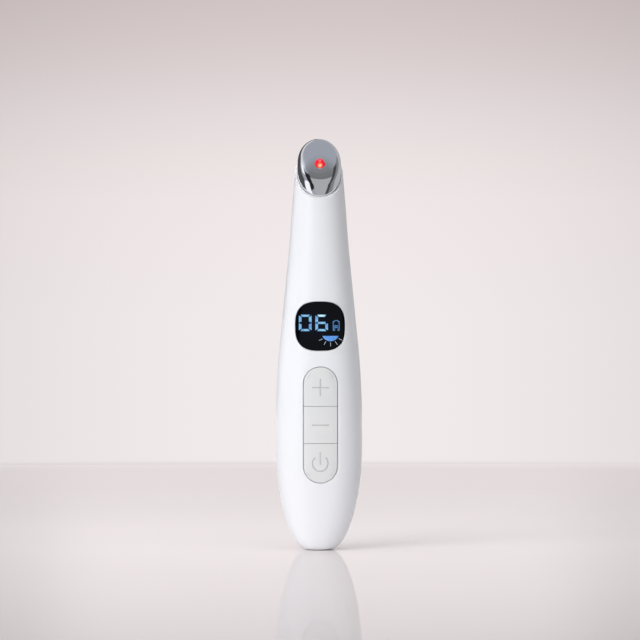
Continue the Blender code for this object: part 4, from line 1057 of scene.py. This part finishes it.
red_wire = material("red_wire", wire_finish((0.42, 0.012, 0.014), (0.58, 0.030, 0.030)))
black_wire = material("black_wire", wire_finish((0.010, 0.010, 0.011), (0.030, 0.030, 0.032)))
INSIDE = (
    (material("circuit_board", board_finish), "led_board display_board main_board charge_board"),
    (material("cell_film", grained(*CELL)), "battery_cell"),
    (material("foam", foam_finish), "battery_pad"),
    (material("silicone", grained(*SILICONE)), "head_seal plus_plunger minus_plunger power_plunger"),
    (material("lamp_package", grained(*PACKAGE)), "led_emitter"),
    (material("diffuser_film", grained(*FILM)), "display_mask"),
    (black_plastic, "led_holder plus_switch minus_switch power_switch control_chip"),
    (steel, "boost_coil battery_top_tab battery_bottom_tab charge_screw_1 charge_screw_2"),
    (steel, "board_screw_1 board_screw_2 board_screw_3 board_screw_4"),
    (red_wire, "led_lead_red battery_lead_red charge_lead_red"),
    (black_wire, "led_lead_black battery_lead_black charge_lead_black"),
)
for look, names in INSIDE:
    for node in names.split():
        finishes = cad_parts[node].data.materials
        finishes.clear()
        finishes.append(look)

# The camera stands level with the wand's middle, a little to its right hand, behind a
# long lens. It looks level, so the wand's sides stay upright.
CAMERA_DISTANCE, CAMERA_HEIGHT, CAMERA_TURN = 1.2, 0.0892, math.radians(2.4)
VIEW_WIDTH, VIEW_ASIDE = 0.2489, 0.0004
camera = bpy.data.objects.new("camera", bpy.data.cameras.new("camera"))
camera.data.sensor_width = 36.0
camera.data.lens = 36.0 * CAMERA_DISTANCE / VIEW_WIDTH
camera.data.clip_start, camera.data.clip_end = 0.01, 100.0
camera.location = (
    VIEW_ASIDE - CAMERA_DISTANCE * math.sin(CAMERA_TURN),
    -CAMERA_DISTANCE * math.cos(CAMERA_TURN),
    CAMERA_HEIGHT,
)
camera.rotation_euler = (math.pi / 2, 0.0, -CAMERA_TURN)
bpy.context.scene.collection.objects.link(camera)
bpy.context.scene.camera = camera
bpy.context.scene.view_settings.view_transform = "Standard"

# The wand stands on a pale satin table that runs out into a paler backdrop. Both are a
# warm white with painted shade that falls off towards the sides and the top, and the table's
# colour carries painted light and shade that change with the distance from the viewer's side.
FLOOR_REACH, TABLE_REACH, TABLE_THICKNESS = 40.0, 0.694, 0.02
# Painted light and shade: these stops set the table's colour by its distance from the viewer's side.
TABLE_PAINTED_SHADES = (
    (0.00, (0.505, 0.466, 0.474)), (0.10, (0.618, 0.573, 0.581)), (0.22, (0.702, 0.652, 0.660)),
    (0.385, (0.765, 0.714, 0.716)), (0.49, (0.760, 0.710, 0.710)), (0.615, (0.693, 0.647, 0.647)),
    (0.77, (0.646, 0.597, 0.601)), (1.00, (0.620, 0.574, 0.578)),
)
FADE_NEAR, FADE_ASIDE, EDGE_BEFORE, EDGE_BEYOND = (0.45, 0.85), (0.0, 0.8), 0.05, 0.09
# The table's and the backdrop's darkening to the sides, below, are painted shade.
TABLE_NEAR, TABLE_PAINTED_DIM, TABLE_POLISH = -0.42, 0.30, 1.030
BACKDROP, BACKDROP_PAINTED_DIM, BACKDROP_AXIS = (0.888, 0.831, 0.839), 0.10, math.sin(CAMERA_TURN)
VIEW_SIDE = 0.1


def table_look():
    """Diffuse table colour with painted light and shade by its distance from the viewer's side, darkened to
    both sides with painted shade, with a trace of polish; past the table's reach the backdrop's own colour,
    also darkened to the sides with painted shade, as seen directly or in a mirror."""
    made = bpy.data.materials.new("table")
    s = blank(made)
    x, y = s.axis(s.place(), "X"), s.axis(s.place(), "Y")
    depth = (y - TABLE_NEAR) / (TABLE_REACH - TABLE_NEAR)
    shade = s.add("ShaderNodeValToRGB", {"stops": TABLE_PAINTED_SHADES}, {0: depth}, "Color")
    across_ = x + CAMERA_DISTANCE * math.sin(CAMERA_TURN)
    ahead = y + CAMERA_DISTANCE * math.cos(CAMERA_TURN)
    away = s.math("SQRT", across_ * across_ + ahead * ahead)
    aside, shown = across_ / away, s.smooth(ahead, *FADE_NEAR) * s.smooth(ahead / away, *FADE_ASIDE)
    # Painted shade: the table darkens to both sides of the view from the camera's place.
    fall = s.math("POWER", s.math("ABSOLUTE", aside - BACKDROP_AXIS) / VIEW_SIDE, 10.0)
    side_painted_shade = fall / (fall + 0.3) * TABLE_PAINTED_DIM * shown
    matt = s.add("ShaderNodeBsdfDiffuse", {}, {"Color": s.mix(side_painted_shade, shade, (0.0, 0.0, 0.0))})
    polish = s.add("ShaderNodeBsdfGlossy", {}, {"Color": (1.0, 1.0, 1.0, 1.0), "Roughness": 0.015})
    gloss = s.add("ShaderNodeFresnel", {}, {"IOR": TABLE_POLISH})
    table = s.add("ShaderNodeMixShader", {}, {0: gloss, 1: matt, 2: polish})
    glow = s.add("ShaderNodeEmission", {}, {"Color": s.painted_dimming(BACKDROP, aside, shown)})
    reach = s.add("ShaderNodeVectorMath", {"operation": "LENGTH"}, {0: s.place()}, "Value")
    far = s.smooth(reach, TABLE_REACH - EDGE_BEFORE, TABLE_REACH + EDGE_BEYOND)
    surface = s.add("ShaderNodeMixShader", {}, {0: far * s.seen(), 1: table, 2: glow})
    s.add("ShaderNodeOutputMaterial", {}, {"Surface": surface})
    return made


turns = np.linspace(0, math.tau, 256, endpoint=False)
ring = np.stack([np.cos(turns), np.sin(turns), 0 * turns], -1)
table_rows = [ring * reach for reach in (0.0, 0.35, TABLE_REACH, 2.0, FLOOR_REACH)]
table_rows += [ring * reach - (0, 0, TABLE_THICKNESS) for reach in (FLOOR_REACH, 0.0)]
table = piece("table", [table_rows], closed=(0,))
table.data.materials.append(table_look())

# Soft studio light: an even surround, a little darker from the right, a large diffuser to
# the front left, a wide lamp overhead and a faint bounce off the table.
SURROUND_LEVEL = 0.40
# The backdrop seen past the table has painted shade: paler near the horizon, darker towards the top and
# towards the sides.
SKY_PAINTED_SHADES = (
    (0.000, BACKDROP), (0.039, (0.871, 0.799, 0.807)), (0.0518, (0.839, 0.768, 0.768)),
    (0.0648, (0.791, 0.723, 0.730)), (0.0777, (0.738, 0.658, 0.665)), (0.0907, (0.679, 0.604, 0.597)),
    (0.1037, (0.631, 0.558, 0.552)), (0.25, (0.52, 0.50, 0.53)), (1.00, (0.36, 0.39, 0.46)),
)

world = bpy.data.worlds.new("studio")
bpy.context.scene.world = world
s = blank(world)
ray_way = s.add("ShaderNodeTexCoord", output="Generated")
aside, rise = s.axis(ray_way, "X"), s.axis(ray_way, "Z")
sky = s.add("ShaderNodeValToRGB", {"stops": SKY_PAINTED_SHADES}, {0: s.math("MAXIMUM", rise, 0.0)}, "Color")
ahead = s.smooth(s.axis(ray_way, "Y"), *FADE_ASIDE)
seen = s.add("ShaderNodeBackground", {}, {"Color": s.painted_dimming(sky, aside, ahead)})
around = s.mix(s.smooth(aside, 0.1, 0.8), (0.965, 0.98, 1.0), (0.64, 0.65, 0.66))
even = s.add("ShaderNodeBackground", {}, {"Color": around, "Strength": SURROUND_LEVEL})
both = s.add("ShaderNodeMixShader", {}, {0: s.seen(), 1: even, 2: seen})
s.add("ShaderNodeOutputWorld", {}, {"Surface": both})


def lamp(name, turn, height, distance, width, tall, power, aim=0.08):
    """A rectangular lamp, turn degrees round from the front towards the left, aimed at the wand."""
    data = bpy.data.lights.new(name, "AREA")
    data.shape, data.size, data.size_y, data.energy = "RECTANGLE", width, tall, power
    made = bpy.data.objects.new(name, data)
    a = math.radians(turn)
    place = Vector((-distance * math.sin(a), -distance * math.cos(a), height))
    made.location = place
    made.rotation_euler = (Vector((0, 0, aim)) - place).to_track_quat("-Z", "Y").to_euler()
    bpy.context.scene.collection.objects.link(made)
    return made


diffuser = lamp("diffuser", turn=42, height=0.75, distance=1.6, width=1.1, tall=1.5, power=20.8)
overhead = lamp("overhead", turn=0, height=2.5, distance=0.3, width=2.2, tall=2.2, power=28.0)
diffuser.visible_glossy = overhead.visible_glossy = False
bounce = lamp("bounce", turn=-50, height=0.00012, distance=0.11, width=0.3, tall=0.3, power=0.055)
bounce.rotation_euler = (math.pi, 0.0, 0.0)
bounce.visible_glossy = bounce.visible_camera = False

# Round the head hangs a tent of dark and bright cards, with an apron of cards below its
# rim. Only the polished parts mirror them.
TENT_CENTRE = (0.0, -0.004, 0.148)
TENT_SHADE = (0.385, 0.405, 0.455)
TENT_CARDS = (
    (64, 170, 46, 68, 8, 5, 0.78),
    (-66, 52, -16, 52, 4, 17, 0.20),
    (-62, 50, 40, 75, 26, 17, 0.20),
    (-104, -62, -30, 60, 4, 5, 0.06),
    (-104, -82, -30, 60, 10, 5, 0.27),
    (-185, -104, -30, 62, 3, 6, 0.48),
    (104, 185, -35, 50, 2, 3, 0.08),
    (46, 74, -2, 30, 3, 2, 0.02),
    (76, 93, -2, 50, 2, 2, 1.10),
    (-29, 30, -32, -4, 1, 1, 0.03),
    (30, 82, -32, -2, 1, 1, 0.28),
    (-66, -29, -32, -2, 1, 2, 0.15),
)
APRON_CARDS = (
    (-62, 45, -90, 12, 4, 2, 0.46),
    (-104, -62, -90, 10, 4, 2, 0.06),
    (-104, -82, -90, 10, 10, 2, 0.27),
    (-185, -104, -90, 10, 3, 2, 0.48),
    (104, 185, -35, 10, 2, 2, 0.08),
    (46, 74, -45, 10, 3, 2, 0.02),
    (74, 106, -62, -18, 2, 2, 1.10),
)


def tent_rows(radius, low, high):
    """radius * (cos of the rise * (sin, cos) of the turn, sin of the rise), about the tent's centre."""
    rise, turn = np.meshgrid(np.radians(np.linspace(low, high, 33)), turns, indexing="ij")
    flat = np.stack([np.cos(rise) * np.sin(turn), np.cos(rise) * np.cos(turn), np.sin(rise)], -1)
    return radius * flat + TENT_CENTRE


def tent_look(name, cards):
    """Each card is a box of turns, from the front towards the left, and of rises, with soft borders.
    From outside the tent is clear."""
    made = bpy.data.materials.new(name)
    s = blank(made)
    way = s.add("ShaderNodeVectorMath", {"operation": "SUBTRACT"}, {0: s.place(), 1: TENT_CENTRE})
    x, y, z = (s.axis(way, axis) for axis in "XYZ")
    turn = s.math("DEGREES", s.math("ARCTAN2", -x, -y))
    rise = s.math("DEGREES", s.math("ARCTAN2", z, s.math("SQRT", x * x + y * y)))
    colour = TENT_SHADE
    for first, last, low, high, soft_turn, soft_rise, level in cards:
        held = s.smooth(turn, first - soft_turn, first + soft_turn)
        held = held * (1 - s.smooth(turn, last - soft_turn, last + soft_turn))
        held = held * s.smooth(rise, low - soft_rise, low + soft_rise)
        held = held * (1 - s.smooth(rise, high - soft_rise, high + soft_rise))
        colour = s.mix(held, colour, (level, level, level * 1.02))
    inside = s.add("ShaderNodeNewGeometry", output="Backfacing")
    clear = s.add("ShaderNodeBsdfTransparent", {}, {"Color": (1.0, 1.0, 1.0, 1.0)})
    shine = s.add("ShaderNodeEmission", {}, {"Color": colour})
    surface = s.add("ShaderNodeMixShader", {}, {0: inside, 1: clear, 2: shine})
    s.add("ShaderNodeOutputMaterial", {}, {"Surface": surface})
    return made


def mirrored_only(made, look):
    """Gives a piece of the stage its material and shows it to mirrors alone."""
    made.data.materials.append(look)
    made.visible_camera = made.visible_diffuse = made.visible_shadow = False
    made.visible_transmission = made.visible_volume_scatter = False


TENTS = (("tent", TENT_CARDS, 0.20, -25, 90), ("apron", APRON_CARDS, 0.10, -72, 9))
for name, cards, radius, low, high in TENTS:
    made = piece(name, [tent_rows(radius, low, high)], closed=(0,), filled=False)
    mirrored_only(made, tent_look(name, cards))

# A bright sheet stands behind the wand, and only the table's polish mirrors it.
SHEET_WIDTH, SHEET_FOOT, SHEET_TOP, SHEET_BEHIND = 3.0, 0.002, 0.30, 0.75


def sheet_light(s):
    """The same pale light all over."""
    return {"Color": (1.13, 1.035, 1.04, 1.0)}


x, z = np.meshgrid(np.linspace(-0.5, 0.5, 33) * SHEET_WIDTH, np.linspace(SHEET_FOOT, SHEET_TOP, 9))
made = piece("sheet", [np.stack([x, SHEET_BEHIND + 0 * x, z], -1)], filled=False)
mirrored_only(made, material("sheet", sheet_light, "ShaderNodeEmission"))
